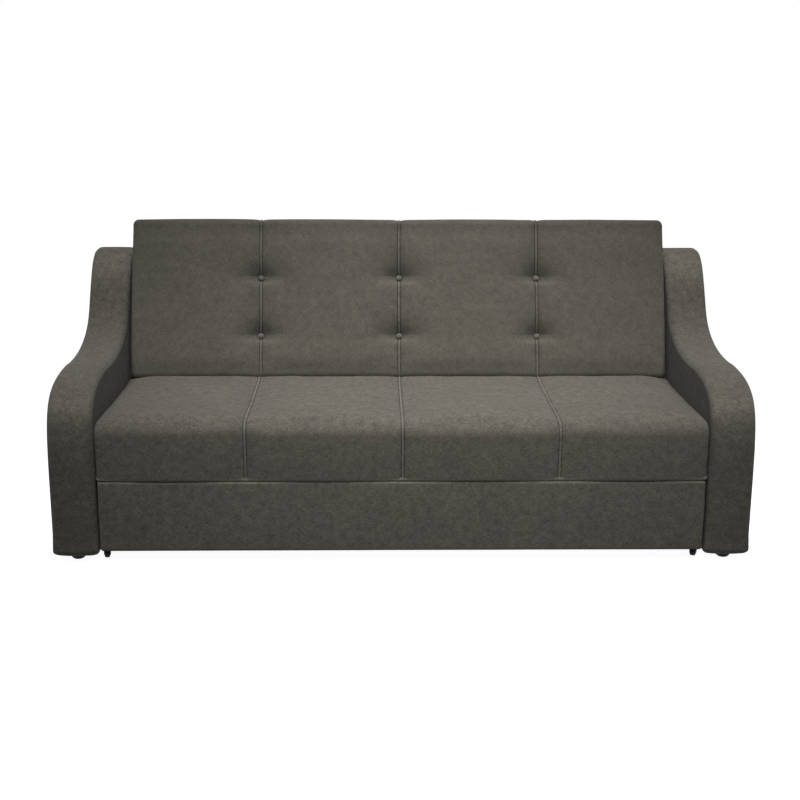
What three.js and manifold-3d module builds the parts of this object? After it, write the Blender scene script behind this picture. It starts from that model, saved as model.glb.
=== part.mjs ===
// A sofa whose seat rolls forward on castors while its back lies down behind it, which makes a bed.
// Lengths are in millimetres. X runs along the width, Y from the front to the back, Z up from the floor.
// Inside the assembly Y is measured from the front of the arms.

import * as THREE from "three";
import { mergeVertices } from "three/addons/utils/BufferGeometryUtils.js";
import Module from "manifold-3d";

const wasm = await Module();
wasm.setup();

// Driving dimensions
const innerWidth = 1910;
const armWidth = 140;
const armDepth = 975;
const armBottomZ = 22;
const seatTopZ = 450;
const seatSeamZ = 265;
const hingeSetback = 325;
const hingeDrop = 20;
const hingeGap = 2;
const backLength = 577;
const backThickness = 120;
const backLean = THREE.MathUtils.degToRad(20);
const pullTravel = 430;
const castorTurn = THREE.MathUtils.degToRad(35);

// Clearances
const seatGap = 0.3;
const workGap = 2;
const runGap = 0.05;
const restGap = 0.5;
const overrun = 5;

// Arms
const armEdge = 18;
const armRollFootZ = 235;
const armRollPull = 272;
const armRollLead = 19;
const armPlateauY = 308;
const armPlateauZ = 570;
const armSweepPull = 161;
const armRiseSetback = 254;
const armRiseZ = 671;
const armRiseAngle = THREE.MathUtils.degToRad(57.7);
const armRisePull = 108;
const armTopSetback = 70;
const armTopZ = 860;
const armTopPull = 80;
const armCornerRadius = 45;
const armBottomRadius = 24;
const armCurveSteps = 11;
const armEdgeSteps = 2;

// Feet
const footRadius = 25;
const footFlatRadius = 13;
const footInset = 52;

// Cushions and covers
const sidePlay = 4;
const backSidePlay = 11;
const seatFrontY = 8;
const seatFrontRadius = 42;
const creaseRadius = 30;
const seatBaseRadius = 7;
const seatEdge = 16;
const seatEndDrop = 8;
const seatEndReach = 45;
const seatTopCrown = 5;
const seatFrontCrown = 4;
const backEdge = 20;
const backTopRadius = 26;
const backCrown = 8;
const coverWall = 16;
const quarterCount = 4;
const channelSpread = 10.5;
const channelDepth = 7;
const channelReach = 15;
const pillowDrop = 6;
const tuftDepth = 17;
const tuftReachX = 34;
const tuftReachZ = 26;
const tuftRowLow = 156;
const tuftRowHigh = 364;

// Buttons
const buttonRadius = 10;
const buttonHeight = 7;
const buttonRim = 2;

// Front panel
const panelPlay = 8;
const panelFrontY = 10;
const panelThickness = 28;
const panelBottomZ = 36;
const panelSeam = 1.5;
const panelRadius = 8;
const panelCrown = 3;
const boardThickness = 18;
const boardMargin = 7;

// Seat frame
const railWidth = 34;
const railHeight = 42;
const sideRailWidth = 50;
const deckThickness = 6;
const crossRailCount = 2;
const postWidth = 45;

// Back frame
const backBarWidth = 50;
const backBarDepth = 38;
const stileWidth = 40;
const coverThickness = 2;

// Hinges between the seat and the back
const strapWidth = 50;
const strapThickness = 3;
const strapSetback = 1;
const strapRise = 6;
const knuckleRadius = 5;
const knuckleLength = 17.4;
const knuckleSpace = 0.6;
const pinRadius = 2.5;
const hingeXShare = 0.78;

// Bent guides on the arms and the studs that slide down them
const studRadius = 6;
const studLead = 10;
const studDepth = 79;
const studClear = 1;
const guideHeight = 8;
const guideWidth = 9;
const guideLeadIn = 12;
const guideLegCount = 5;
const tangentShare = 1e-3;

// Runners, rear rollers and their brackets
const runnerWidth = 24;
const runnerHeight = 40;
const runnerFrontY = 112;
const runnerOverlap = 18;
const rollerRadius = 14;
const rollerWidth = 12;
const rollerSetback = 44;
const rollerDrop = 29;
const rollerAxle = 3;
const rollerCapRadius = 6;
const rollerCap = 2;
const bracketWidth = 34;
const bracketThickness = 4;
const bracketFlange = 42;
const bracketEye = 10;

// Cross members between the arms
const beamDepth = 35;
const beamHeight = 60;
const bedBeamSetback = 58;
const rearPanelThickness = 16;
const rearPanelInset = 15;
const rearPanelBottomZ = 45;
const rearPanelTopZ = 430;

// Castors
const castorInset = 20;
const castorPlay = 4;
const castorHeight = 44;
const castorPlate = 30;
const castorPlateThickness = 2.5;
const raceRadius = 13;
const raceHeight = 4.5;
const forkDiscRadius = 12.5;
const forkDiscHeight = 3.5;
const forkCheek = 2.2;
const forkTopLength = 20;
const castorWheelRadius = 13;
const castorWheelWidth = 14;
const castorWheelCrown = 1.5;
const castorTrail = 7;
const castorAxle = 2.5;
const castorEye = 5;

// Facets
const roundSteps = 24;
const smallSteps = 12;
const domeSteps = 4;

// Sizes that follow
const innerHalf = innerWidth / 2;
const outerHalf = innerHalf + armWidth;
const hingeY = armDepth - hingeSetback;
const hingeZ = seatTopZ - hingeDrop;
const seatHalf = innerHalf - sidePlay;
const backHalf = innerHalf - backSidePlay;
const backFrontW = -hingeDrop;
const backRearW = backThickness - hingeDrop;
const seatRearY = hingeY - hingeGap;
const bedTurn = Math.PI / 2 - backLean;
const studHeight = pullTravel + studLead;
const channelX = innerWidth / quarterCount + channelSpread;
const channelXs = [-channelX, 0, channelX];
const hingeXs = [-innerHalf * hingeXShare, 0, innerHalf * hingeXShare];
const panelHalf = innerHalf - panelPlay;
const panelTopZ = seatSeamZ - panelSeam;
const boardFrontY = panelFrontY + panelThickness;
const boardRearY = boardFrontY + boardThickness;
const frameTopZ = seatSeamZ + railHeight;
const deckTopZ = frameTopZ + seatGap + deckThickness;
const castorX = innerHalf - castorInset;
const castorY = boardFrontY + castorPlay + castorWheelRadius + castorTrail;
const rollerY = hingeY - rollerSetback;
const rollerZ = seatSeamZ - rollerDrop;
const armRiseY = armDepth - armRiseSetback;
const armTopY = armDepth - armTopSetback;

function fabric(color) {
  return new THREE.MeshStandardMaterial({ color, roughness: 0.95, metalness: 0 });
}

const upholstery = fabric(0x5b5751);
const lining = fabric(0x2e2d2b);
const timber = new THREE.MeshStandardMaterial({ color: 0xb48a5a, roughness: 0.7, metalness: 0 });
const plywood = new THREE.MeshStandardMaterial({ color: 0xa67c4e, roughness: 0.8, metalness: 0 });
const blackSteel = new THREE.MeshStandardMaterial({ color: 0x232324, roughness: 0.45, metalness: 0.8 });
const zincSteel = new THREE.MeshStandardMaterial({ color: 0xa9abad, roughness: 0.35, metalness: 0.9 });
const blackPlastic = new THREE.MeshStandardMaterial({ color: 0x141414, roughness: 0.5, metalness: 0 });
const nylon = new THREE.MeshStandardMaterial({ color: 0x303030, roughness: 0.55, metalness: 0 });

const sofa = new THREE.Group();
const assembly = new THREE.Group();
assembly.position.y = -armDepth / 2;
sofa.add(assembly);

const back = new THREE.Group();
back.position.set(0, hingeY, hingeZ);
back.rotation.x = -backLean;
assembly.add(back);

function addPart(name, geometry, material, parent = assembly) {
  const mesh = new THREE.Mesh(geometry, material);
  mesh.name = name;
  parent.add(mesh);
  return mesh;
}

// Calls make once for each side, with the side's name and sign.
function onBothSides(make) {
  make("left", -1);
  make("right", 1);
}

function solid(geometry) {
  const bare = geometry.clone();
  bare.deleteAttribute("normal");
  bare.deleteAttribute("uv");
  const merged = mergeVertices(bare, 1e-4);
  return new wasm.Manifold(
    new wasm.Mesh({
      numProp: 3,
      vertProperties: Float32Array.from(merged.attributes.position.array),
      triVerts: Uint32Array.from(merged.index.array),
    }),
  );
}

function toGeometry(manifold) {
  const mesh = manifold.getMesh();
  const geometry = new THREE.BufferGeometry();
  geometry.setAttribute("position", new THREE.BufferAttribute(Float32Array.from(mesh.vertProperties), 3));
  geometry.setIndex(new THREE.BufferAttribute(Uint32Array.from(mesh.triVerts), 1));
  geometry.computeVertexNormals();
  return geometry;
}

function cut(geometry, tools) {
  return toGeometry(tools.reduce((body, tool) => body.subtract(solid(tool)), solid(geometry)));
}

function join(geometries) {
  return toGeometry(geometries.slice(1).reduce((body, next) => body.add(solid(next)), solid(geometries[0])));
}

function box([x0, x1], [y0, y1], [z0, z1]) {
  const geometry = new THREE.BoxGeometry(x1 - x0, y1 - y0, z1 - z0);
  return geometry.translate((x0 + x1) / 2, (y0 + y1) / 2, (z0 + z1) / 2);
}

// The same span on the other side of the middle when side is -1.
function sided(side, low, high) {
  return side > 0 ? [low, high] : [-high, -low];
}

// A cylinder along X from x0 to x1.
function rod(radius, x0, x1, y, z, steps = smallSteps) {
  const geometry = new THREE.CylinderGeometry(radius, radius, x1 - x0, steps);
  geometry.rotateZ(Math.PI / 2);
  return geometry.translate((x0 + x1) / 2, y, z);
}

// A cylinder along Z from z0 to z1.
function disc(radius, z0, z1, x, y, steps = roundSteps) {
  const geometry = new THREE.CylinderGeometry(radius, radius, z1 - z0, steps);
  geometry.rotateX(Math.PI / 2);
  return geometry.translate(x, y, (z0 + z1) / 2);
}

// The radius that a faceted bore needs so that its flats clear a pin.
function boreRadius(pin, steps = smallSteps) {
  return (pin + runGap) / Math.cos(Math.PI / steps);
}

// Turns an extrusion of a shape drawn in Y and Z so that it runs along X from x0.
function alongX(geometry, x0) {
  const basis = new THREE.Matrix4().makeBasis(
    new THREE.Vector3(0, 1, 0),
    new THREE.Vector3(0, 0, 1),
    new THREE.Vector3(1, 0, 0),
  );
  return geometry.applyMatrix4(basis).translate(x0, 0, 0);
}

// A closed skin through loops of equal length, with a fan of faces over each end.
function loft(loops) {
  const count = loops[0].length;
  const positions = loops.flatMap((loop) => loop.flatMap((p) => [p.x, p.y, p.z]));
  const indices = [];
  for (let i = 0; i + 1 < loops.length; i++) {
    for (let j = 0; j < count; j++) {
      const k = (j + 1) % count;
      const a = i * count + j;
      const b = i * count + k;
      indices.push(a, b, b + count, a, b + count, a + count);
    }
  }
  [0, loops.length - 1].forEach((end) => {
    const centre = loops[end].reduce((sum, p) => sum.add(p), new THREE.Vector3()).divideScalar(count);
    const hub = positions.length / 3;
    positions.push(centre.x, centre.y, centre.z);
    for (let j = 0; j < count; j++) {
      const a = end * count + j;
      const b = end * count + ((j + 1) % count);
      indices.push(hub, end ? a : b, end ? b : a);
    }
  });
  const geometry = new THREE.BufferGeometry();
  geometry.setAttribute("position", new THREE.Float32BufferAttribute(positions, 3));
  geometry.setIndex(indices);
  return geometry;
}

// The points of one rounded corner. Each step turns by an equal angle.
function corner(y, z, radius, start, steps, soft) {
  return Array.from({ length: steps + 1 }, (_, i) => {
    const share = i / steps;
    const angle = start + (share * Math.PI) / 2;
    return {
      y: y + radius * Math.cos(angle),
      z: z + radius * Math.sin(angle),
      soft: soft[0] + (soft[1] - soft[0]) * share,
    };
  });
}

// The points between two corners, at given shares of the way, bulging outward by a crown.
function span(from, to, shares, crown, soft) {
  const dy = to.y - from.y;
  const dz = to.z - from.z;
  const length = Math.hypot(dy, dz);
  return shares.map((share) => {
    const bulge = crown * (1 - (2 * share - 1) ** 2);
    return {
      y: from.y + dy * share + (bulge * dz) / length,
      z: from.z + dz * share - (bulge * dy) / length,
      soft,
    };
  });
}

// The section of a soft block: a rectangle in Y and Z with its own radius at each corner.
function softSection({ y0, y1, z0, z1, radii, steps, top, front, crowns }) {
  const baseFront = corner(y0 + radii.base, z0 + radii.base, radii.base, Math.PI, 1, [1, 0]);
  const baseRear = corner(y1 - radii.base, z0 + radii.base, radii.base, -Math.PI / 2, 1, [0, 0]);
  const topRear = corner(y1 - radii.rear, z1 - radii.rear, radii.rear, 0, steps, [0, 1]);
  const topFront = corner(y0 + radii.front, z1 - radii.front, radii.front, Math.PI / 2, steps, [1, 1]);
  const last = (list) => list[list.length - 1];
  return [
    ...baseFront,
    ...baseRear,
    ...topRear,
    ...span(last(topRear), topFront[0], top, crowns.top, 1),
    ...topFront,
    ...span(last(topFront), baseFront[0], front, crowns.front, 1),
  ];
}

// The section drawn in at each point by its own depth.
function drawnIn(section, x, depth) {
  return section.map((point, i) => {
    const next = section[(i + 1) % section.length];
    const previous = section[(i + section.length - 1) % section.length];
    const ty = next.y - previous.y;
    const tz = next.z - previous.z;
    const length = Math.hypot(ty, tz);
    const inset = depth(point);
    return new THREE.Vector3(x, point.y - (inset * tz) / length, point.z + (inset * ty) / length);
  });
}

// The places along X where a soft block has a section: close together beside each channel.
function stations(half, edge, channels, more) {
  const channelShares = [-2.3, -0.8, 0, 0.8, 2.3];
  const edgeShares = [0, 0.3, 0.65, 1];
  const list = edgeShares.map((share) => edge * (1 - Math.cos((share * Math.PI) / 2)));
  const ends = list.flatMap((inset) => [half - inset, inset - half]);
  const beside = channels.flatMap((x) => channelShares.map((share) => x + share * channelReach));
  const limits = [-half, ...channels, half];
  const middles = limits.slice(1).map((x, i) => (x + limits[i]) / 2);
  return [...ends, ...beside, ...middles, ...more].sort((a, b) => a - b);
}

// A soft block along X with rounded ends, sewn channels and, where asked, tufts.
function softBlock({ section, half, edge, channels, pillow, more = [], extra = () => 0 }) {
  const limits = [-half, ...channels, half];
  return loft(
    stations(half, edge, channels, more).map((x) => {
      const fromEnd = Math.min(edge, half - Math.abs(x));
      const roundIn = edge - Math.sqrt(Math.max(0, edge ** 2 - (edge - fromEnd) ** 2));
      const channel = channels.reduce((sum, c) => sum + Math.exp(-(((x - c) / channelReach) ** 2)), 0);
      const cell = limits.findIndex((limit, i) => i > 0 && x <= limit);
      const share = (x - limits[cell - 1]) / (limits[cell] - limits[cell - 1]);
      const hollow = channel * channelDepth + pillow * (2 * share - 1) ** 2;
      return drawnIn(section, x, (point) => roundIn + point.soft * (hollow + extra(x, point)));
    }),
  );
}

// Arms

// The side view of an arm: upright front, rolled top, long dip, and a wave up to the back.
function armShape() {
  const lead = armRisePull * Math.cos(armRiseAngle);
  const climb = armRisePull * Math.sin(armRiseAngle);
  const sweepY = armSweepPull * Math.cos(armRiseAngle);
  const sweepZ = armSweepPull * Math.sin(armRiseAngle);
  const shape = new THREE.Shape();
  const lowZ = armBottomZ + armBottomRadius;
  shape.moveTo(0, lowZ);
  shape.absarc(armBottomRadius, lowZ, armBottomRadius, Math.PI, 1.5 * Math.PI, false);
  shape.absarc(armDepth - armBottomRadius, lowZ, armBottomRadius, 1.5 * Math.PI, 2 * Math.PI, false);
  shape.absarc(armDepth - armCornerRadius, armTopZ - armCornerRadius, armCornerRadius, 0, Math.PI / 2, false);
  shape.lineTo(armTopY, armTopZ);
  shape.bezierCurveTo(armTopY - armTopPull, armTopZ, armRiseY + lead, armRiseZ + climb, armRiseY, armRiseZ);
  const sweep = [armRiseY - sweepY, armRiseZ - sweepZ];
  shape.bezierCurveTo(...sweep, armPlateauY, armPlateauZ, armPlateauY, armPlateauZ);
  shape.bezierCurveTo(armRollLead, armPlateauZ, 0, armRollFootZ + armRollPull, 0, armRollFootZ);
  return shape;
}

function makeArms() {
  onBothSides((name, side) => {
    const geometry = new THREE.ExtrudeGeometry(armShape(), {
      depth: armWidth - 2 * armEdge,
      curveSegments: armCurveSteps,
      bevelThickness: armEdge,
      bevelSize: armEdge,
      bevelOffset: -armEdge,
      bevelSegments: armEdgeSteps,
    });
    const x0 = side > 0 ? innerHalf : -outerHalf;
    addPart(`arm_${name}`, alongX(geometry, x0 + armEdge), upholstery);
  });
}

function footProfile() {
  const points = [new THREE.Vector2(0, 0)];
  for (let i = 0; i <= domeSteps; i++) {
    const angle = ((i / domeSteps) * Math.PI) / 2;
    const radius = footFlatRadius + (footRadius - footFlatRadius) * Math.sin(angle);
    points.push(new THREE.Vector2(radius, armBottomZ * (1 - Math.cos(angle))));
  }
  points.push(new THREE.Vector2(0, armBottomZ));
  return points;
}

function makeFeet() {
  const places = { front: footInset, rear: armDepth - footInset };
  onBothSides((name, side) => {
    for (const [place, y] of Object.entries(places)) {
      const geometry = new THREE.LatheGeometry(footProfile(), roundSteps).rotateX(Math.PI / 2);
      geometry.translate(side * (innerHalf + armWidth / 2), y, 0);
      addPart(`foot_${place}_${name}`, geometry, blackPlastic);
    }
  });
}

// Cross members

function makeCrossMembers() {
  const width = [-innerHalf, innerHalf];
  const panelRearY = armDepth - rearPanelInset;
  const panelFaceY = panelRearY - rearPanelThickness;
  addPart("rear_panel", box(width, [panelFaceY, panelRearY], [rearPanelBottomZ, rearPanelTopZ]), lining);
  addPart(
    "rear_stretcher",
    box(width, [panelFaceY - beamDepth, panelFaceY], [rearPanelBottomZ, rearPanelBottomZ + beamHeight]),
    timber,
  );
  const bedBeamY = hingeY + bedBeamSetback;
  const bedBeamTop = hingeZ - backRearW - restGap;
  addPart(
    "bed_support_beam",
    box(width, [bedBeamY, bedBeamY + beamDepth], [bedBeamTop - beamHeight, bedBeamTop]),
    timber,
  );
}

// Runners and guides on the arms

function makeRunners() {
  const topZ = rollerZ - rollerRadius - seatGap;
  onBothSides((name, side) => {
    const x = sided(side, innerHalf - runnerWidth, innerHalf);
    const y = [runnerFrontY, hingeY + runnerOverlap];
    addPart(`runner_${name}`, box(x, y, [topZ - runnerHeight, topZ]), timber);
  });
}

// Where a stud's centre is when the seat has come out by a share of its travel.
function studPath(share) {
  const lean = backLean + bedTurn * share;
  return new THREE.Vector2(
    hingeY - pullTravel * share + studHeight * Math.sin(lean) + studDepth * Math.cos(lean),
    hingeZ + studHeight * Math.cos(lean) - studDepth * Math.sin(lean),
  );
}

// The guide's straight legs. Each follows the stud's path half way through its share of the travel.
function guideLegs() {
  return Array.from({ length: guideLegCount }, (_, i) => {
    const share = (i + 1 / 2) / guideLegCount;
    const way = studPath(share + tangentShare).sub(studPath(share - tangentShare)).normalize();
    return { place: studPath(share), way, side: new THREE.Vector2(-way.y, way.x) };
  });
}

// One edge of the guide, at a distance out from the stud's path: its ends and where its legs meet.
function guideEdge(legs, out) {
  const lines = legs.map(({ place, way, side }) => ({
    start: place.clone().addScaledVector(side, out),
    way,
  }));
  const meets = lines.slice(1).map((line, i) => {
    const { start, way } = lines[i];
    const along = line.start.clone().sub(start).cross(line.way) / way.cross(line.way);
    return start.clone().addScaledVector(way, along);
  });
  const beside = (line, share, lead) => {
    const along = studPath(share).sub(line.start).dot(line.way) + lead;
    return line.start.clone().addScaledVector(line.way, along);
  };
  return [beside(lines[0], 0, -guideLeadIn), ...meets, beside(lines[lines.length - 1], 1, 0)];
}

function makeGuides() {
  const legs = guideLegs();
  const near = guideEdge(legs, studRadius + studClear);
  const far = guideEdge(legs, studRadius + studClear + guideHeight);
  const shape = new THREE.Shape([...near, ...far.reverse()]);
  onBothSides((name, side) => {
    const geometry = new THREE.ExtrudeGeometry(shape, { depth: guideWidth, bevelEnabled: false });
    const x0 = side > 0 ? innerHalf - guideWidth : -innerHalf;
    addPart(`guide_${name}`, alongX(geometry, x0), blackSteel);
  });
}

// Seat unit

const seatRecess = {
  x: seatHalf - coverWall,
  frontY: seatFrontY + coverWall + seatFrontCrown,
  topZ: deckTopZ + seatGap,
};

function makeSeatFrame() {
  const half = seatRecess.x - seatGap;
  const frontY = seatRecess.frontY + seatGap;
  const rearY = hingeY - strapSetback - strapThickness - seatGap;
  const z = [seatSeamZ, frameTopZ];
  const frontRail = [frontY, frontY + railWidth];
  const rearRail = [rearY - railWidth, rearY];
  const between = [frontRail[1], rearRail[0]];
  addPart("seat_front_rail", box([-half, half], frontRail, z), timber);
  addPart("seat_rear_rail", box([-half, half], rearRail, z), timber);
  onBothSides((name, side) => {
    addPart(`seat_side_rail_${name}`, box(sided(side, half - sideRailWidth, half), between, z), timber);
  });
  for (let i = 0; i < crossRailCount; i++) {
    const x = ((i + 1) / (crossRailCount + 1) - 1 / 2) * 2 * half;
    addPart(`seat_cross_rail_${i + 1}`, box([x - railWidth / 2, x + railWidth / 2], between, z), timber);
  }
  const deckZ = [frameTopZ + seatGap, deckTopZ];
  addPart("seat_deck", box([-half, half], [frontY, rearY], deckZ), plywood);
}

function makeSeatCushion() {
  const topShares = [0.07, 0.2, 0.36, 0.52, 0.68, 0.84, 0.95];
  const frontShares = [0.2, 0.5, 0.8];
  const section = softSection({
    y0: seatFrontY,
    y1: seatRearY,
    z0: seatSeamZ,
    z1: seatTopZ,
    radii: { base: seatBaseRadius, rear: creaseRadius, front: seatFrontRadius },
    steps: 5,
    top: topShares,
    front: frontShares,
    crowns: { top: seatTopCrown, front: seatFrontCrown },
  });
  const block = softBlock({
    section,
    half: seatHalf,
    edge: seatEdge,
    channels: channelXs,
    pillow: pillowDrop,
    more: [-seatHalf + seatEndReach, seatHalf - seatEndReach],
    extra: (x) => seatEndDrop * Math.exp(-(((seatHalf - Math.abs(x)) / seatEndReach) ** 2)),
  });
  const recess = box(
    [-seatRecess.x, seatRecess.x],
    [seatRecess.frontY, hingeY],
    [seatSeamZ - overrun, seatRecess.topZ],
  );
  const strapY = hingeY - strapSetback - strapThickness - seatGap;
  const notchY = hingeY - knuckleRadius - workGap;
  const pockets = hingeXs.flatMap((x) => {
    const width = [x - strapWidth / 2 - workGap, x + strapWidth / 2 + workGap];
    return [
      box(width, [strapY, hingeY], [seatSeamZ, hingeZ]),
      box(width, [notchY, hingeY], [hingeZ - knuckleRadius - workGap, hingeZ + knuckleRadius + workGap]),
    ];
  });
  addPart("seat_cushion", cut(block, [recess, ...pockets]), upholstery);
}

function makeFrontPanel() {
  const section = softSection({
    y0: panelFrontY,
    y1: panelFrontY + panelThickness,
    z0: panelBottomZ,
    z1: panelTopZ,
    radii: { base: panelRadius, rear: panelRadius, front: panelRadius },
    steps: 3,
    top: [],
    front: [0.15, 0.5, 0.85],
    crowns: { top: 0, front: panelCrown },
  });
  addPart(
    "front_panel",
    softBlock({ section, half: panelHalf, edge: panelRadius, channels: [], pillow: 0 }),
    upholstery,
  );
  const boardHalf = panelHalf - boardMargin;
  addPart(
    "front_panel_board",
    box([-boardHalf, boardHalf], [boardFrontY + seatGap, boardRearY], [castorHeight, seatSeamZ]),
    plywood,
  );
}

function makePosts() {
  onBothSides((name, side) => {
    const x = sided(side, panelHalf - postWidth, panelHalf);
    const y = [boardRearY, boardRearY + postWidth];
    addPart(`front_post_${name}`, box(x, y, [castorHeight, seatSeamZ]), timber);
  });
}

// A rear roller's bracket: a flange under the side rail, an upright cheek and the roller's axle.
function rollerBracket(side) {
  const cheekX = innerHalf - runnerWidth - workGap;
  const axleEnd = cheekX + workGap + rollerWidth + workGap;
  const y = [rollerY - bracketWidth / 2, rollerY + bracketWidth / 2];
  const cheek = sided(side, cheekX - bracketThickness, cheekX);
  const flange = sided(side, cheekX - bracketFlange, cheekX);
  const axle = sided(side, cheekX - bracketThickness / 2, axleEnd + rollerCap);
  const cap = sided(side, axleEnd - workGap / 2, axleEnd + rollerCap);
  return join([
    box(cheek, y, [rollerZ - bracketEye, seatSeamZ]),
    box(flange, y, [seatSeamZ - bracketThickness, seatSeamZ]),
    rod(rollerAxle, axle[0], axle[1], rollerY, rollerZ),
    rod(rollerCapRadius, cap[0], cap[1], rollerY, rollerZ),
  ]);
}

function makeRearRollers() {
  const cheekX = innerHalf - runnerWidth - workGap;
  onBothSides((name, side) => {
    addPart(`roller_bracket_${name}`, rollerBracket(side), zincSteel);
    const x = sided(side, cheekX + workGap / 2, cheekX + workGap / 2 + rollerWidth);
    const tyre = rod(rollerRadius, x[0], x[1], rollerY, rollerZ, roundSteps);
    const bore = rod(boreRadius(rollerAxle), x[0] - overrun, x[1] + overrun, rollerY, rollerZ);
    addPart(`rear_roller_${name}`, cut(tyre, [bore]), nylon);
  });
}

// Hinges between the seat and the back

function seatHingeLeaf(x) {
  const plateY = [hingeY - strapSetback - strapThickness, hingeY - strapSetback];
  const neckZ = hingeZ - knuckleRadius - workGap;
  const plate = box([x - strapWidth / 2, x + strapWidth / 2], plateY, [seatSeamZ + strapRise, neckZ]);
  const neck = box([x - knuckleLength / 2, x + knuckleLength / 2], plateY, [neckZ - overrun, hingeZ]);
  const knuckle = rod(knuckleRadius, x - knuckleLength / 2, x + knuckleLength / 2, hingeY, hingeZ);
  const pin = rod(pinRadius, x - strapWidth / 2, x + strapWidth / 2, hingeY, hingeZ);
  return join([plate, neck, knuckle, pin]);
}

// Drawn in the back's own frame, where the hinge axis is the origin.
function backHingeLeaf(x) {
  const plateZ = [strapSetback, strapSetback + strapThickness];
  const neckY = knuckleRadius + workGap;
  const plateEnd = backRearW - coverThickness - workGap;
  const plate = box([x - strapWidth / 2, x + strapWidth / 2], [neckY, plateEnd], plateZ);
  const inner = knuckleLength / 2 + knuckleSpace;
  const outer = strapWidth / 2;
  const ears = [-1, 1].flatMap((side) => {
    const [low, high] = sided(side, inner, outer);
    return [
      box([x + low, x + high], [0, neckY + overrun], plateZ),
      rod(knuckleRadius, x + low, x + high, 0, 0),
    ];
  });
  const bore = rod(boreRadius(pinRadius), x - outer - overrun, x + outer + overrun, 0, 0);
  return cut(join([plate, ...ears]), [bore]);
}

function makeHinges() {
  hingeXs.forEach((x, i) => {
    addPart(`seat_hinge_leaf_${i + 1}`, seatHingeLeaf(x), zincSteel);
    addPart(`back_hinge_leaf_${i + 1}`, backHingeLeaf(x), zincSteel, back);
  });
}

// Back unit, drawn in its own frame: Y is the depth from the hinge axis and Z runs up the back

const tuftRows = [tuftRowLow, tuftRowHigh];

const backRecess = {
  x: backHalf - coverWall,
  topZ: backLength - coverWall,
  frontY: backRearW - coverThickness - backBarDepth - 2 * seatGap,
};

// How far the sewn buttons pull the cover in at a point of the front face.
function tuftPull(x, point) {
  return channelXs.reduce((sum, c) => {
    const across = ((x - c) / tuftReachX) ** 2;
    const pulls = tuftRows.map((row) => Math.exp(-across - ((point.z - row) / tuftReachZ) ** 2));
    return sum + (pulls[0] + pulls[1]) * tuftDepth;
  }, 0);
}

// Shares of the front face, from its top to its bottom, where the section has points.
function tuftedShares(topZ, bottomZ) {
  const rowShares = [-1.6, -0.7, 0, 0.7, 1.6];
  const places = tuftRows.flatMap((row) => rowShares.map((share) => row + share * tuftReachZ));
  const limits = [bottomZ, ...tuftRows, topZ];
  const between = limits.slice(1).map((z, i) => (limits[i] + z) / 2);
  return [...places, ...between].sort((a, b) => b - a).map((z) => (topZ - z) / (topZ - bottomZ));
}

function makeBackCushion() {
  const topZ = backLength - backTopRadius;
  const bottomZ = hingeGap + creaseRadius;
  const section = softSection({
    y0: backFrontW,
    y1: backRearW,
    z0: hingeGap,
    z1: backLength,
    radii: { base: creaseRadius, rear: backTopRadius, front: backTopRadius },
    steps: 4,
    top: [0.5],
    front: tuftedShares(topZ, bottomZ),
    crowns: { top: 0, front: backCrown },
  });
  const block = softBlock({
    section,
    half: backHalf,
    edge: backEdge,
    channels: channelXs,
    pillow: pillowDrop,
    extra: tuftPull,
  });
  const recess = box(
    [-backRecess.x, backRecess.x],
    [backRecess.frontY, backRearW + overrun],
    [-overrun, backRecess.topZ],
  );
  const strapTop = strapSetback + strapThickness + seatGap;
  const pockets = hingeXs.flatMap((x) => {
    const width = [x - strapWidth / 2 - workGap, x + strapWidth / 2 + workGap];
    return [
      box(width, [-knuckleRadius - workGap, backRearW], [-overrun, strapTop]),
      box(width, [-knuckleRadius - workGap, knuckleRadius + workGap], [-overrun, knuckleRadius + workGap]),
    ];
  });
  const studHoles = [-1, 1].map((side) => {
    const [low, high] = sided(side, backRecess.x - overrun, backHalf + overrun);
    return rod(boreRadius(studRadius) + seatGap, low, high, studDepth, studHeight);
  });
  const seats = buttonPlaces().map(({ x, z }) => {
    const floorY = buttonFloorY(x, z);
    const radius = buttonRadius + seatGap;
    const tool = new THREE.CylinderGeometry(radius, radius, tuftDepth, roundSteps / 2);
    return tool.translate(x, floorY - tuftDepth / 2, z);
  });
  addPart("back_cushion", cut(block, [recess, ...pockets, ...studHoles, ...seats]), upholstery, back);
}

function buttonPlaces() {
  return [...tuftRows].reverse().flatMap((z) => channelXs.map((x) => ({ x, z })));
}

// The depth of the flat seat under a button: the bottom of its tuft.
function buttonFloorY(x, z) {
  const share = (z - hingeGap) / (backLength - hingeGap);
  const crown = backCrown * (1 - (2 * share - 1) ** 2);
  return backFrontW - crown + channelDepth + pillowDrop + tuftPull(x, { z }) + buttonRim;
}

function makeButtons() {
  const profile = [new THREE.Vector2(0, 0), new THREE.Vector2(buttonRadius, 0)];
  for (let i = 0; i < domeSteps; i++) {
    const angle = ((i / domeSteps) * Math.PI) / 2;
    const height = buttonRim + (buttonHeight - buttonRim) * Math.sin(angle);
    profile.push(new THREE.Vector2(buttonRadius * Math.cos(angle), height));
  }
  profile.push(new THREE.Vector2(0, buttonHeight));
  buttonPlaces().forEach(({ x, z }, i) => {
    const geometry = new THREE.LatheGeometry(profile, roundSteps / 2).rotateX(Math.PI);
    geometry.translate(x, buttonFloorY(x, z) - seatGap, z);
    addPart(`back_button_${i + 1}`, geometry, upholstery, back);
  });
}

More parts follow.
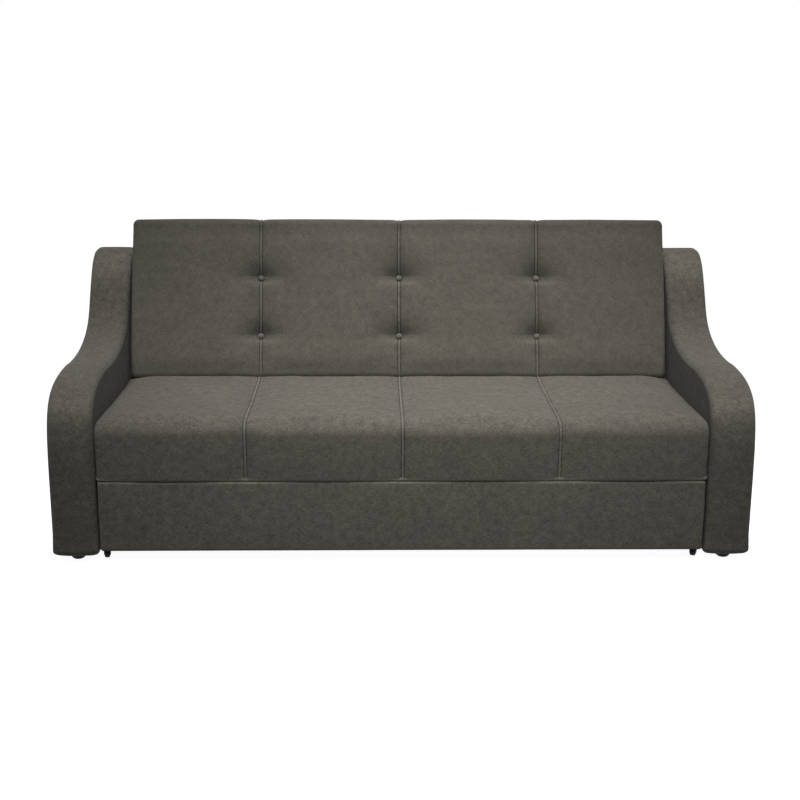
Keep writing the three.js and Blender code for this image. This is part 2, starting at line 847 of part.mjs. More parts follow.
function makeBackFrame() {
  const half = backRecess.x - seatGap;
  const y = [backRecess.frontY + seatGap, backRecess.frontY + seatGap + backBarDepth];
  const bottomZ = strapSetback + strapThickness + seatGap;
  const topZ = backRecess.topZ - seatGap;
  const between = [bottomZ + backBarWidth + seatGap, topZ - backBarWidth - seatGap];
  addPart("back_bottom_rail", box([-half, half], y, [bottomZ, bottomZ + backBarWidth]), timber, back);
  addPart("back_top_rail", box([-half, half], y, [topZ - backBarWidth, topZ]), timber, back);
  onBothSides((name, side) => {
    addPart(`back_stile_${name}`, box(sided(side, half - backBarWidth, half), y, between), timber, back);
  });
  channelXs.forEach((x, i) => {
    const width = [x - stileWidth / 2, x + stileWidth / 2];
    addPart(`back_mid_stile_${i + 1}`, box(width, y, between), timber, back);
  });
  const coverY = [y[1] + seatGap, y[1] + seatGap + coverThickness];
  addPart("back_rear_cover", box([-half, half], coverY, [bottomZ, topZ]), lining, back);
}

function makeStuds() {
  onBothSides((name, side) => {
    const [low, high] = sided(side, backRecess.x, innerHalf - workGap);
    addPart(`guide_stud_${name}`, rod(studRadius, low, high, studDepth, studHeight), nylon, back);
  });
}

// Castors

// One cheek's outline, seen along the axle: wide under the disc and tapering to the axle's eye.
function forkCheekShape(topZ) {
  const shape = new THREE.Shape();
  shape.moveTo(-forkTopLength / 2, topZ);
  shape.lineTo(castorTrail - castorEye, castorWheelRadius);
  shape.absarc(castorTrail, castorWheelRadius, castorEye, Math.PI, 2 * Math.PI, false);
  shape.lineTo(forkTopLength / 2, topZ);
  return shape;
}

// Drawn about the swivel's axis, rolling along Y.
function castorFork(discTopZ) {
  const discZ = discTopZ - forkDiscHeight;
  const inner = castorWheelWidth / 2 + workGap / 2;
  const shape = forkCheekShape(discZ + forkDiscHeight / 2);
  const cheeks = [-inner - forkCheek, inner].map((x0) =>
    alongX(new THREE.ExtrudeGeometry(shape, { depth: forkCheek, bevelEnabled: false }), x0),
  );
  const axle = rod(castorAxle, -inner - forkCheek, inner + forkCheek, castorTrail, castorWheelRadius);
  return join([disc(forkDiscRadius, discZ, discTopZ, 0, 0), ...cheeks, axle]);
}

function castorWheel() {
  const half = castorWheelWidth / 2;
  const bore = boreRadius(castorAxle);
  const profile = [
    [bore, -half],
    [castorWheelRadius - castorWheelCrown, -half],
    [castorWheelRadius, castorWheelCrown - half],
    [castorWheelRadius, half - castorWheelCrown],
    [castorWheelRadius - castorWheelCrown, half],
    [bore, half],
    [bore, -half],
  ].map(([r, h]) => new THREE.Vector2(r, h));
  return new THREE.LatheGeometry(profile, roundSteps)
    .rotateZ(Math.PI / 2)
    .translate(0, castorTrail, castorWheelRadius);
}

function makeCastors() {
  const plateBottomZ = castorHeight - castorPlateThickness;
  const raceBottomZ = plateBottomZ - raceHeight;
  const turns = { left: Math.PI, right: Math.PI - castorTurn };
  onBothSides((name, side) => {
    const x = side * castorX;
    const half = castorPlate / 2;
    const plate = box(
      [x - half, x + half],
      [castorY - half, castorY + half],
      [plateBottomZ, castorHeight],
    );
    const race = disc(raceRadius, raceBottomZ, plateBottomZ + castorPlateThickness / 2, x, castorY);
    addPart(`castor_plate_${name}`, join([plate, race]), blackSteel);
    const swivel = new THREE.Group();
    swivel.position.set(x, castorY, 0);
    swivel.rotation.z = turns[name];
    assembly.add(swivel);
    addPart(`castor_fork_${name}`, castorFork(raceBottomZ - seatGap), blackPlastic, swivel);
    addPart(`castor_wheel_${name}`, castorWheel(), blackPlastic, swivel);
  });
}

makeArms();
makeFeet();
makeCrossMembers();
makeRunners();
makeGuides();
makeSeatFrame();
makeSeatCushion();
makeFrontPanel();
makePosts();
makeCastors();
makeRearRollers();
makeHinges();
makeBackFrame();
makeBackCushion();
makeButtons();
makeStuds();

export default sofa;
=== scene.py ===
"""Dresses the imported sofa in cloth, thread, timber and metal, and sets its camera and light."""

import math
from dataclasses import dataclass

import bmesh
import bpy
import numpy as np
from mathutils import Matrix, Vector


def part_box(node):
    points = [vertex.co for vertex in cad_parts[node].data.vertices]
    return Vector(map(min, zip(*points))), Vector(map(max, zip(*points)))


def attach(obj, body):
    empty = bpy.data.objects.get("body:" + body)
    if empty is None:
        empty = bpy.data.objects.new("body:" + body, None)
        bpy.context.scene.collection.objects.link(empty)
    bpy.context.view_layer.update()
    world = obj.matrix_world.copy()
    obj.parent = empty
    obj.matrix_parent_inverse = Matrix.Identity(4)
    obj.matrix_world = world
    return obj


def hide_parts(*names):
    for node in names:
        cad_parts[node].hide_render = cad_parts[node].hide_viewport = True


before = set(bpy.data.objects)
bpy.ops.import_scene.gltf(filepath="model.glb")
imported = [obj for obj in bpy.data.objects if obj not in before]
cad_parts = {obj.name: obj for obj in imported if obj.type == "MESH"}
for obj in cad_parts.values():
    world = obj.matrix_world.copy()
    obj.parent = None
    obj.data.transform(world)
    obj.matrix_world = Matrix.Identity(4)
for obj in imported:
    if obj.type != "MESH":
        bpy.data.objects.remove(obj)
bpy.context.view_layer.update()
MM = 0.001

# Where the CAD has things, in metres. The back is made in a frame of its own, upright at the hinge.
HINGE = Vector((0, 0.1625, 0.43))
LEAN = math.radians(20)
BACK_FRAME = Matrix.Translation(HINGE) @ Matrix.Rotation(-LEAN, 4, "X")
CHANNELS = (-0.488, 0.0, 0.488)
TUFT_ROWS = (0.156, 0.364)
TUFTS = [(channel, row) for channel in CHANNELS for row in TUFT_ROWS]
ARM_MIDDLE = 1.025
ARM_FRONT = -0.4875
CASTOR_X, CASTOR_Y = 0.935, -0.4255
CASTOR_TURNS = {"left": 0.0, "right": math.radians(-35)}


# Materials


class Nodes:
    """Builds the node tree of a material or of the world in short lines."""

    def __init__(self, owner):
        owner.use_nodes = True
        self.owner = owner
        self.tree = owner.node_tree
        self.shader = self.tree.nodes.get("Principled BSDF")

    def feed(self, socket, source):
        """Gives a socket a number, three numbers or what another node puts out."""
        if isinstance(source, (int, float)):
            socket.default_value = source
        elif isinstance(source, tuple):
            socket.default_value = (*source, 1)[: len(socket.default_value)]
        else:
            output = source.outputs[0] if hasattr(source, "outputs") else source
            self.tree.links.new(output, socket)

    def add(self, kind, inputs=None, **settings):
        """A new node with its settings, and its inputs by number or name."""
        node = self.tree.nodes.new(kind)
        for name, value in settings.items():
            setattr(node, name, value)
        for key, source in (inputs or {}).items():
            self.feed(node.inputs[key], source)
        return node

    def math(self, operation, a, b=0.0):
        return self.add("ShaderNodeMath", {0: a, 1: b}, operation=operation)

    def blend(self, *shares):
        """The sum of some values, each times its own weight."""
        total = None
        for value, weight in shares:
            part = self.math("MULTIPLY", value, weight)
            total = part if total is None else self.math("ADD", total, part)
        return total

    def scaled(self, vector, scale):
        return self.add("ShaderNodeVectorMath", {0: vector, 1: scale}, operation="MULTIPLY")

    def noise(self, vector, scale, detail, rough):
        inputs = {"Vector": vector, "Scale": scale, "Detail": detail, "Roughness": rough}
        return self.add("ShaderNodeTexNoise", inputs).outputs["Fac"]

    def streaks(self, vector, sizes, detail, rough):
        """Noise drawn out along each axis to a size in metres."""
        return self.noise(self.scaled(vector, tuple(1 / size for size in sizes)), 1.0, detail, rough)

    def spread(self, value, low, high, to_low=0.0, to_high=1.0):
        inputs = {"Value": value, "From Min": low, "From Max": high, "To Min": to_low, "To Max": to_high}
        return self.add("ShaderNodeMapRange", inputs)

    def mix(self, factor, a, b):
        return self.add("ShaderNodeMix", {0: factor, 6: a, 7: b}, data_type="RGBA").outputs[2]

    def times(self, color, factor):
        return self.add("ShaderNodeVectorMath", {0: color, "Scale": factor}, operation="SCALE")

    def bump(self, height, distance, strength):
        return self.add("ShaderNodeBump", {"Height": height, "Distance": distance, "Strength": strength})

    def coordinates(self, kind="Object"):
        return self.add("ShaderNodeTexCoord").outputs[kind]

    def attribute(self, name, output="Fac"):
        return self.add("ShaderNodeAttribute", attribute_name=name).outputs[output]

    def split(self, vector):
        return self.add("ShaderNodeSeparateXYZ", {0: vector}).outputs

    def seen(self):
        """1 for rays by which something is seen, and 0 for those that only carry light to a surface."""
        rays = self.add("ShaderNodeLightPath").outputs
        direct = self.math("MAXIMUM", rays["Is Camera Ray"], rays["Is Glossy Ray"])
        return self.math("MAXIMUM", direct, rays["Is Transmission Ray"])

    def finish(self, **inputs):
        """Feeds the material's shader. An underscore in a name stands for a space."""
        for name, source in inputs.items():
            self.feed(self.shader.inputs[name.replace("_", " ")], source)
        return self.owner


def tone(*shown):
    """A colour written in 0 to 255 as the screen shows it, as the renderer's own numbers."""
    shares = (value / 255 for value in shown)
    return tuple(c / 12.92 if c <= 0.04045 else ((c + 0.055) / 1.055) ** 2.4 for c in shares)


def woven(name, dark, light, pitch, soft=1.0, upright=False):
    """A plain weave of mixed light and dark yarns, laid along the weave attribute or up a plain board. Its
    colour is lightened or darkened by painted light and shade held in a mesh attribute.
    """
    n = Nodes(bpy.data.materials.new(name))
    if upright:
        across, _, up = n.split(n.coordinates())
        cloth = n.add("ShaderNodeCombineXYZ", {0: across, 1: up})
    else:
        cloth = n.attribute("weave", "Vector")
    warp, weft = (
        n.math("ABSOLUTE", n.math("SINE", n.math("MULTIPLY", way, math.pi / pitch)))
        for way in list(n.split(cloth))[:2]
    )
    over = n.add("ShaderNodeTexChecker", {"Vector": cloth, "Scale": 1 / pitch}).outputs["Fac"]
    height = n.add("ShaderNodeMix", {0: over, 2: warp, 3: weft})
    yarn = n.blend(
        (n.streaks(cloth, (0.011, 0.0028, 1), 3, 0.65), 0.28),
        (n.streaks(cloth, (0.0028, 0.009, 1), 3, 0.65), 0.24),
        (n.streaks(cloth, (0.024, 0.026, 1), 4, 0.75), 0.24),
        (n.noise(cloth, 420, 2, 0.6), 0.24),
    )
    contrast = n.math("ADD", n.attribute("rubbed"), 1.0)
    share = n.spread(n.math("MULTIPLY", n.math("SUBTRACT", yarn, 0.5), contrast), -0.125, 0.125)
    gaps = n.spread(height, 0.0, 0.7, 0.8, 1.05)
    blotch = n.spread(n.noise(cloth, 9, 3, 0.55), 0.3, 0.7, 1 - 0.07 * soft, 1 + 0.07 * soft)
    shade = n.math("MULTIPLY", gaps, blotch)
    # Painted light and shade, held in a mesh attribute, lighten or darken the colour here.
    shade = n.math("MULTIPLY", shade, n.math("ADD", n.attribute("painted_light_and_shade"), 1.0))
    return n.finish(
        Base_Color=n.times(n.mix(share, dark, light), shade),
        Roughness=n.spread(yarn, 0.3, 0.7, 0.86, 0.98),
        Normal=n.bump(n.blend((height, 0.6), (yarn, 0.8)), 0.6 * MM, 0.5),
        Specular_IOR_Level=0.2,
        Sheen_Weight=0.12,
        Sheen_Roughness=0.55,
    )


def grained(name, dark, light, axis, scale=1.0, layers=None):
    """Sawn timber with its grain along one axis. Layers is plywood's axis across and its sheets' size."""
    n = Nodes(bpy.data.materials.new(name))
    place = n.coordinates()
    stretch = [scale * 38.0] * 3
    stretch[axis] = scale * 1.6

    def fibres(fineness, detail, rough):
        return n.noise(n.scaled(place, tuple(s * fineness for s in stretch)), 1.0, detail, rough)

    rings = n.math("SINE", n.math("MULTIPLY", fibres(0.2, 2, 0.5), 34.0))
    fine = fibres(7, 3, 0.6)
    mixed = n.blend((rings, 0.16), (fibres(1, 5, 0.6), 0.7), (fine, 0.25))
    color = n.mix(n.spread(mixed, 0.2, 0.8), dark, light)
    if layers:
        across, thickness = layers
        sheet = n.math("SINE", n.math("MULTIPLY", n.split(place)[across], math.tau / thickness))
        facing = n.math("ABSOLUTE", n.split(n.coordinates("Normal"))[across])
        edge = n.math("LESS_THAN", facing, 0.5)
        dim = n.math("MULTIPLY", edge, n.math("MULTIPLY", n.math("ADD", sheet, 1.0), -0.17))
        color = n.times(color, n.math("ADD", dim, 1.0))
    return n.finish(
        Base_Color=color,
        Roughness=n.spread(fine, 0.3, 0.7, 0.55, 0.78),
        Normal=n.bump(mixed, 0.8 * MM, 0.5),
        Specular_IOR_Level=0.35,
    )


def metal(name, color, rough, metallic=1.0, grain=0.15):
    """Plated or painted steel with fine scratches and a faint mottle."""
    n = Nodes(bpy.data.materials.new(name))
    place = n.coordinates()
    mottle = n.noise(place, 130, 4, 0.6)
    scratch = n.noise(n.scaled(place, (60, 900, 900)), 1.0, 3, 0.6)
    wear = n.blend((mottle, 0.5), (scratch, 0.5))
    return n.finish(
        Base_Color=n.times(color, n.spread(mottle, 0.3, 0.7, 1 - grain, 1 + grain)),
        Roughness=n.spread(wear, 0.3, 0.7, rough - 0.1, rough + 0.14),
        Normal=n.bump(wear, 0.3 * MM, 0.35),
        Metallic=metallic,
    )


def moulded(name, color, rough):
    """Moulded plastic with a fine spark-eroded grain and rubbed high spots."""
    n = Nodes(bpy.data.materials.new(name))
    place = n.coordinates()
    rub = n.noise(place, 70, 4, 0.65)
    return n.finish(
        Base_Color=n.times(color, n.spread(rub, 0.35, 0.75, 0.85, 1.5)),
        Roughness=n.spread(rub, 0.3, 0.7, rough + 0.1, rough - 0.08),
        Normal=n.bump(n.noise(place, 1600, 2, 0.5), 0.2 * MM, 0.4),
        Specular_IOR_Level=0.15,
    )


CLOTH = woven("sofa_cloth", tone(68, 65, 58), tone(131, 127, 117), 1.9 * MM)
DUST_CLOTH = (tone(30, 29, 28), tone(66, 64, 61), 1.2 * MM, 0.6)
LINING = woven("dust_cloth", *DUST_CLOTH)
LINED_BOARD = woven("lined_board", *DUST_CLOTH, upright=True)
THREAD = woven("sewing_thread", tone(44, 41, 37), tone(66, 62, 56), 0.6 * MM, 0.3)
PINE = (tone(150, 112, 70), tone(206, 170, 122))
PINE_X, PINE_Y, PINE_Z = (grained(f"pine_along_{letter}", *PINE, axis) for axis, letter in enumerate("xyz"))
PLYWOOD = (tone(158, 118, 76), tone(204, 166, 118), 0, 0.8)
DECK = grained("plywood_deck", *PLYWOOD, (2, 2.2 * MM))
BOARD = grained("plywood_board", *PLYWOOD, (1, 2.2 * MM))
ZINC = metal("zinc_plated_steel", tone(128, 129, 130), 0.42)
PAINTED = metal("black_painted_steel", tone(38, 38, 40), 0.46, 0.35, 0.1)
PLASTIC = moulded("black_plastic", tone(10, 10, 10), 0.5)
TREAD = moulded("castor_tread", tone(13, 13, 14), 0.6)
NYLON = moulded("dark_nylon", tone(52, 52, 53), 0.5)


# Curves and noise

# Large primes that scramble a corner of a grid into a number that looks like chance.
PRIMES = (374761393, 668265263, 2147483647)
LAST_PRIME = 1274126177


def bell(distance, width, power=2):
    """1 at no distance, and smoothly down to 0 past the width."""
    return np.exp(-((distance / width) ** power))


def ramp(value, start, span):
    """Straight from 0 at the start to 1 at the end of the span, which may be negative."""
    return np.clip((value - start) / span, 0, 1)


def unit(vectors):
    return vectors / np.maximum(np.linalg.norm(vectors, axis=-1, keepdims=True), 1e-12)


def reach_along(path):
    """The length along a path up to each of its points."""
    return np.concatenate([[0], np.cumsum(np.linalg.norm(np.diff(path, axis=0), axis=1))])


def sampled(values, reach, at):
    """What the points of a path hold, at given lengths along it."""
    return np.stack([np.interp(at, reach, column) for column in values.T], 1)


def cubic(values, at, wrap=False):
    """Values along the first axis at fractional places, by a smooth cubic through them."""
    base = np.floor(at).astype(int)
    t = (at - base).reshape(-1, *([1] * (values.ndim - 1)))

    def pick(k):
        i = base + k
        return values[i % len(values)] if wrap else values[np.clip(i, 0, len(values) - 1)]

    p0, p1, p2, p3 = (pick(k) for k in (-1, 0, 1, 2))
    return 0.5 * (
        2 * p1
        + (p2 - p0) * t
        + (2 * p0 - 5 * p1 + 4 * p2 - p3) * t**2
        + (3 * p1 - p0 - 3 * p2 + p3) * t**3
    )


def rumple(points, size, seed):
    """Smooth noise from -1 to 1 at each point, the same on every run. Size is its wavelength."""
    at = np.asarray(points) / size + seed * 17.31
    base = np.floor(at).astype(np.int64)
    part = at - base
    part = part * part * (3 - 2 * part)
    total = 0.0
    for corner in np.ndindex(2, 2, 2):
        cell = base + corner
        mixed = sum(cell[..., k] * prime for k, prime in enumerate(PRIMES))
        mixed = (mixed ^ (mixed >> 13)) * LAST_PRIME & 0x7FFFFFFF
        value = ((mixed ^ (mixed >> 16)) & 0xFFFF) / 32767.5 - 1
        weight = np.prod(np.where(corner, part, 1 - part), axis=-1)
        total = total + value * weight
    return total


def waves(points, seed, *sizes):
    """Creases of several sizes on top of one another. Each size is a height and a wavelength."""
    return sum(height * rumple(points, length, seed + i) for i, (height, length) in enumerate(sizes))


# Meshes


def place_object(name, data):
    """A new object in the scene."""
    obj = bpy.data.objects.new(name, data)
    bpy.context.scene.collection.objects.link(obj)
    return obj


def make_object(name, points, faces, material, attributes=None, matrix=None):
    """A smooth-shaded mesh object. Attributes are one number or three for each point."""
    points = np.asarray(points)
    if matrix is not None:
        placed = np.array(matrix)
        points = points @ placed[:3, :3].T + placed[:3, 3]
    mesh = bpy.data.meshes.new(name)
    mesh.from_pydata(points.tolist(), [], faces)
    mesh.validate()
    mesh.shade_smooth()
    mesh.materials.append(material)
    for key, values in (attributes or {}).items():
        values = np.asarray(values, np.float32)
        kind, field = ("FLOAT_VECTOR", "vector") if values.ndim > 1 else ("FLOAT", "value")
        mesh.attributes.new(key, kind, "POINT").data.foreach_set(field, values.ravel())
    return place_object(name, mesh)


def declare(obj, body, slot, *nodes):
    """Puts a piece on the body it rides on and hides the CAD nodes it stands for. The slot, the name of its
    finish, is not used.
    """
    if nodes:
        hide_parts(*nodes)
    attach(obj, body)


def middle(node):
    """The middle of a CAD node's box."""
    low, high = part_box(node)
    return (Vector(low) + Vector(high)) / 2


def grid_faces(rows, columns, wrap=False, start=0):
    """The quads of a grid of points. With wrap the last column joins the first."""
    i = np.arange(rows - 1)[:, None] * columns
    j = np.arange(columns if wrap else columns - 1)[None, :]
    k = (j + 1) % columns
    quads = np.stack(np.broadcast_arrays(i + j, i + k, i + columns + k, i + columns + j), -1)
    return (quads.reshape(-1, 4) + start).tolist()


def flipped(faces):
    return [face[::-1] for face in faces]


# The radius, in millimetres, at which a turned profile closes on its axis.
TIP = 0.0001


def lathe(profile, steps, centre=(0, 0, 0), axis="Z"):
    """Points and faces of a profile of (radius, height) in millimetres, turned about an axis."""
    angles = np.linspace(0, math.tau, steps, endpoint=False)
    radii, heights = np.array(profile).T * MM
    rings = [radii[:, None] * np.cos(angles), radii[:, None] * np.sin(angles), heights[:, None]]
    points = np.stack(np.broadcast_arrays(*rings), -1).reshape(-1, 3)
    order = {"X": [2, 0, 1], "Y": [1, 2, 0], "Z": [0, 1, 2]}[axis]
    return points[:, order] + np.array(centre), grid_faces(len(profile), steps, True)


def gather(parts):
    """Joins pairs of points and faces into one."""
    faces = []
    count = 0
    for points, own in parts:
        faces += [[i + count for i in face] for face in own]
        count += len(points)
    return np.concatenate([points for points, _ in parts]), faces


def merge_close(obj, distance=1e-5):
    mesh = bmesh.new()
    mesh.from_mesh(obj.data)
    bmesh.ops.remove_doubles(mesh, verts=mesh.verts, dist=distance)
    bmesh.ops.recalc_face_normals(mesh, faces=mesh.faces)
    mesh.to_mesh(obj.data)
    mesh.free()


def soften_edges(obj, width):
    bevel = obj.modifiers.new("soft_edges", "BEVEL")
    bevel.width = width
    bevel.segments = 2
    return bevel


# Sewn channels

# How far the two rows of stitches lie from the middle of a channel.
SEW = 4.7 * MM
VALLEY_DEPTH = 7 * MM
VALLEY_WIDTH = 15 * MM


def gap_to_channels(x):
    return np.min([np.abs(x - c) for c in CHANNELS], axis=0)


def nearest_channel(x):
    return np.argmin([np.abs(x - c) for c in CHANNELS], axis=0)


def channel_depth(gap, at_button, calm, sewn):
    """A channel's valley. A sewn one also has a raised tape along its middle, between two grooves.

    The cloth simulation takes the plain one, since its grid is too coarse for more.
    """
    valley = calm * VALLEY_DEPTH * bell(gap, VALLEY_WIDTH)
    if not sewn:
        return valley
    tape = 2.6 * MM * bell(gap, 3.9 * MM, 6)
    groove = 2.8 * MM * bell(gap - SEW, 1.1 * MM)
    pit = 0.6 * MM * at_button * (gap < 0.1)
    return valley + (1 - at_button) * (groove - tape) + pit


def seam_drift(x, z, softs):
    """A hand-sewn channel wanders by a millimetre or two, but not at its buttons."""
    line = np.stack(np.broadcast_arrays(nearest_channel(x) * 3.7, z, 0.5), -1)
    wander = 1.8 * MM * softs * rumple(line, 0.14, 61)
    held = sum(bell(z - row, 0.03) for row in TUFT_ROWS)
    return wander * np.clip(1 - held, 0, 1) * bell(gap_to_channels(x), 0.07)


def seam_pucker(x, at, seed):
    """Small puckers that the sewing draws into the cloth on both sides of a channel."""
    gap = gap_to_channels(x)
    side = np.sign(x - np.array(CHANNELS)[nearest_channel(x)])
    place = np.stack(np.broadcast_arrays(side * 0.3, at, x * 0 + seed), -1)
    return waves(place, seed, (1, 0.011), (0.6, 0.023)) * bell(gap - 0.010, 0.011) * (gap > 0.006)


# Soft blocks: the seat, the back and the front panel

CORNER_POINTS = 25
SIDE_POINTS = 120
# How far apart the rows of points of a cover and of its cloth simulation lie.
SPACING = 13 * MM


@dataclass
class SoftBlock:
    """A stuffed block along X. Its section is a rectangle with its own radius at each corner.

    Creases are the seed, heights and wavelengths of its waves. Fade says along which axis, from where, over
    what span and by how much its channels fade out, and firm where its creases do. Hollow is the half
    length, front, rear and height of a hollow in its underside.
    """

    low: tuple
    high: tuple
    radii: tuple
    crowns: tuple
    half: float
    edge: float
    creases: tuple
    channels: tuple = ()
    pillow: float = 0.0
    pucker_seed: int = 0
    puff: float = 1.2 * MM
    contrast: float = 0.0
    fade: tuple = (0, 0.0, 1.0, 0.0)
    firm: tuple = None
    hollow: tuple = None
    # Functions that move the outline, deepen the cover, hold it while it swells, and paint light and shade
    # into its colour.
    reshape: object = None
    deepen: object = None
    held: object = None
    shade: object = None

    def __post_init__(self):
        outline = self.outline()
        self.ring = np.vstack([outline, outline[:1]])
        self.reach = reach_along(self.ring[:, :2])
        self.length = self.reach[-1]

    def outline(self):
        """Points round the section, each with its Y, its Z and how soft it is from 0 to 1."""
        (y0, z0), (y1, z1) = self.low, self.high
        r0, r1, r2, r3 = self.radii
        quarters = [
            (y0 + r0, z0 + r0, r0, math.pi, 1, 0),
            (y1 - r1, z0 + r1, r1, 1.5 * math.pi, 0, 0),
            (y1 - r2, z1 - r2, r2, 0.0, 0, 1),
            (y0 + r3, z1 - r3, r3, 0.5 * math.pi, 1, 1),
        ]
        t = np.linspace(0, 1, CORNER_POINTS)
        corners = []
        for y, z, radius, start, soft, soft_after in quarters:
            turn = start + t * math.pi / 2
            round_y, round_z = y + radius * np.cos(turn), z + radius * np.sin(turn)
            corners.append(np.stack([round_y, round_z, soft + (soft_after - soft) * t], 1))
        t = np.linspace(0, 1, SIDE_POINTS + 2)[1:-1, None]
        rows = []
        for i, bulge in enumerate((0.0, 0.0, *self.crowns)):
            before, after = corners[i][-1], corners[(i + 1) % 4][0]
            line = before + (after - before) * t
            way = unit((after - before)[:2])
            line[:, :2] += bulge * (1 - (2 * t - 1) ** 2) * np.array([way[1], -way[0]])
            rows += [corners[i], line]
        rows = np.concatenate(rows)
        if self.reshape:
            rows[:, 0], rows[:, 1] = self.reshape(rows[:, 0], rows[:, 1])
        return rows

    def section(self, count):
        """Evenly spaced places round the section, their outward normals, how soft and how far round."""
        at = np.linspace(0, self.length, count, endpoint=False)
        place = sampled(self.ring, self.reach, at)
        way = unit(np.roll(place[:, :2], -1, 0) - np.roll(place[:, :2], 1, 0))
        return place[:, :2], np.stack([way[:, 1], -way[:, 0]], 1), place[:, 2], at

    def depth(self, xs, places, softs, sewn):
        """How far each point of the cover lies inside the section."""
        x = xs[:, None]
        from_end = np.minimum(self.edge, self.half - np.abs(x))
        rounded = self.edge - np.sqrt(np.maximum(0, self.edge**2 - (self.edge - from_end) ** 2))
        limits = np.array([-self.half, *self.channels, self.half])
        cell = np.clip(np.searchsorted(limits, xs) - 1, 0, len(limits) - 2)
        share = ((xs - limits[cell]) / (limits[cell + 1] - limits[cell]))[:, None]
        extra, at_button = self.deepen(x, places) if self.deepen else (0.0, 0.0)
        axis, start, span, lost = self.fade
        t = ramp(places[None, :, axis], start, span)
        calm = 1 - lost * t * t * (3 - 2 * t)
        hollow = calm * self.pillow * (2 * share - 1) ** 2
        for c in self.channels:
            hollow = hollow + channel_depth(np.abs(x - c), at_button, calm, sewn)
        return rounded + softs[None, :] * (hollow + extra)

    def surface(self, xs, count, sewn):
        """A grid of points, the section's normals, how soft each place is and how far round it lies."""
        places, normals, softs, at = self.section(count)
        depth = self.depth(xs, places, softs, sewn)
        points = np.empty((len(xs), count, 3))
        points[..., 0] = xs[:, None]
        points[..., 1:] = places - depth[..., None] * normals
        if self.hollow:
            half, front, rear, top = self.hollow
            under = (np.abs(points[..., 0]) < half) & (points[..., 2] < self.low[1] + 4 * MM)
            under &= (points[..., 1] > front) & (points[..., 1] < rear)
            points[..., 2] = np.where(under, top, points[..., 2])
        return points, normals, softs, at

    def ruffle(self, points, x, at):
        """The height of the cover's creases, and of the puckers beside its channels."""
        height = waves(points, *self.creases)
        if self.channels:
            height = height + 0.45 * MM * seam_pucker(x, at, self.pucker_seed)
        if self.firm:
            start, span = self.firm
            height = height * np.clip((points[..., 2] - start) / span, 0.1, 1)
        return height

    def stations(self):
        """Places along X: even between the channels, close together beside them and round the ends."""
        near = np.array([0, 1.5, 2.8, 3.5, 4.1, 4.7, 5.3, 6.1, 7.5, 9.8, 13, 17.5, 24.5, 34]) * MM
        ends = self.edge * (1 - np.cos(np.linspace(0, 1, 7) * math.pi / 2))
        places = [self.half - ends, ends - self.half]
        places += [c + side * near for c in self.channels for side in (-1, 1)]
        limits = sorted([-self.half + self.edge, self.half - self.edge, *self.channels])
        for a, b in zip(limits, limits[1:]):
            low = a + (near[-1] if a in self.channels else 0)
            high = b - (near[-1] if b in self.channels else 0)
            places.append(np.linspace(low, high, max(2, round((high - low) / SPACING) + 1)))
        every = np.unique(np.round(np.concatenate(places), 7))
        return every[np.concatenate([[True], np.diff(every) > 0.2 * MM])]

    def pins(self, x, points, softs):
        """How firmly each point is held while the cover swells, from 0 to 1."""
        in_channel = np.where(gap_to_channels(x) < 7 * MM, 1.0, 0.0)
        on_board = np.where(softs < 0.6, 1.0, 0.0)
        at_end = ramp(np.abs(x), self.half - 0.04, 0.03)
        return np.maximum(np.maximum(in_channel, on_board), np.maximum(at_end, self.held(x, points)))


FABRIC = {
    "quality": 5, "mass": 0.3, "tension_stiffness": 30, "compression_stiffness": 30,
    "shear_stiffness": 12, "bending_stiffness": 3, "air_damping": 4, "shrink_min": -0.006,
    "use_pressure": True, "uniform_pressure_force": 2.2, "vertex_group_mass": "held",
}
LAST_STEP = 20
MOST_SWELLING = 7 * MM


def inflate(points, faces, pins):
    """Swells a closed cloth with held points under pressure, and returns how far each point moved."""
    obj = make_object("swelling", points, faces, CLOTH)
    group = obj.vertex_groups.new(name="held")
    for weight in np.unique(pins):
        if weight > 0:
            group.add(np.nonzero(pins == weight)[0].tolist(), float(weight), "REPLACE")
    cloth = obj.modifiers.new("Cloth", "CLOTH")
    for name, value in FABRIC.items():
        setattr(cloth.settings, name, value)
    cloth.settings.effector_weights.gravity = 0
    cloth.collision_settings.use_collision = False
    cloth.point_cache.frame_start = 1
    cloth.point_cache.frame_end = LAST_STEP
    for step in range(1, LAST_STEP + 1):
        bpy.context.scene.frame_set(step)
    shown = obj.evaluated_get(bpy.context.evaluated_depsgraph_get()).data
    moved = np.empty(len(shown.vertices) * 3)
    shown.vertices.foreach_get("co", moved)
    bpy.data.objects.remove(obj)
    bpy.context.scene.frame_set(1)
    shift = moved.reshape(-1, 3) - points
    size = np.linalg.norm(shift, axis=1, keepdims=True)
    return shift * (np.minimum(size, MOST_SWELLING) / np.maximum(size, 1e-9))


def swell(block):
    """The cover's swelling on a coarse grid, as a function of fine places along X and round the section."""
    rows = round(2 * block.half / SPACING) + 1
    columns = round(block.length / SPACING)
    xs = np.linspace(-block.half, block.half, rows)
    points, _, softs, _ = block.surface(xs, columns, sewn=False)
    held = block.pins(xs[:, None], points, softs[None, :])
    faces = grid_faces(rows, columns, True)
    faces += [list(range(columns))[::-1], list(range((rows - 1) * columns, rows * columns))]
    shift = inflate(points.reshape(-1, 3), faces, np.round(held, 1).ravel())
    shift = shift.reshape(rows, columns, 3) * (1 - held)[..., None]
    for _ in range(2):
        near = np.roll(shift, 1, 1) + np.roll(shift, -1, 1)
        near[1:-1] += shift[2:] + shift[:-2]
        shift[1:-1] = shift[1:-1] * 0.4 + near[1:-1] * 0.15

    def sample(fine_xs, count):
        along = cubic(shift, (fine_xs + block.half) / (2 * block.half) * (rows - 1))
        fine = cubic(np.swapaxes(along, 0, 1), np.arange(count) * columns / count, True)
        return np.swapaxes(fine, 0, 1)

    return sample


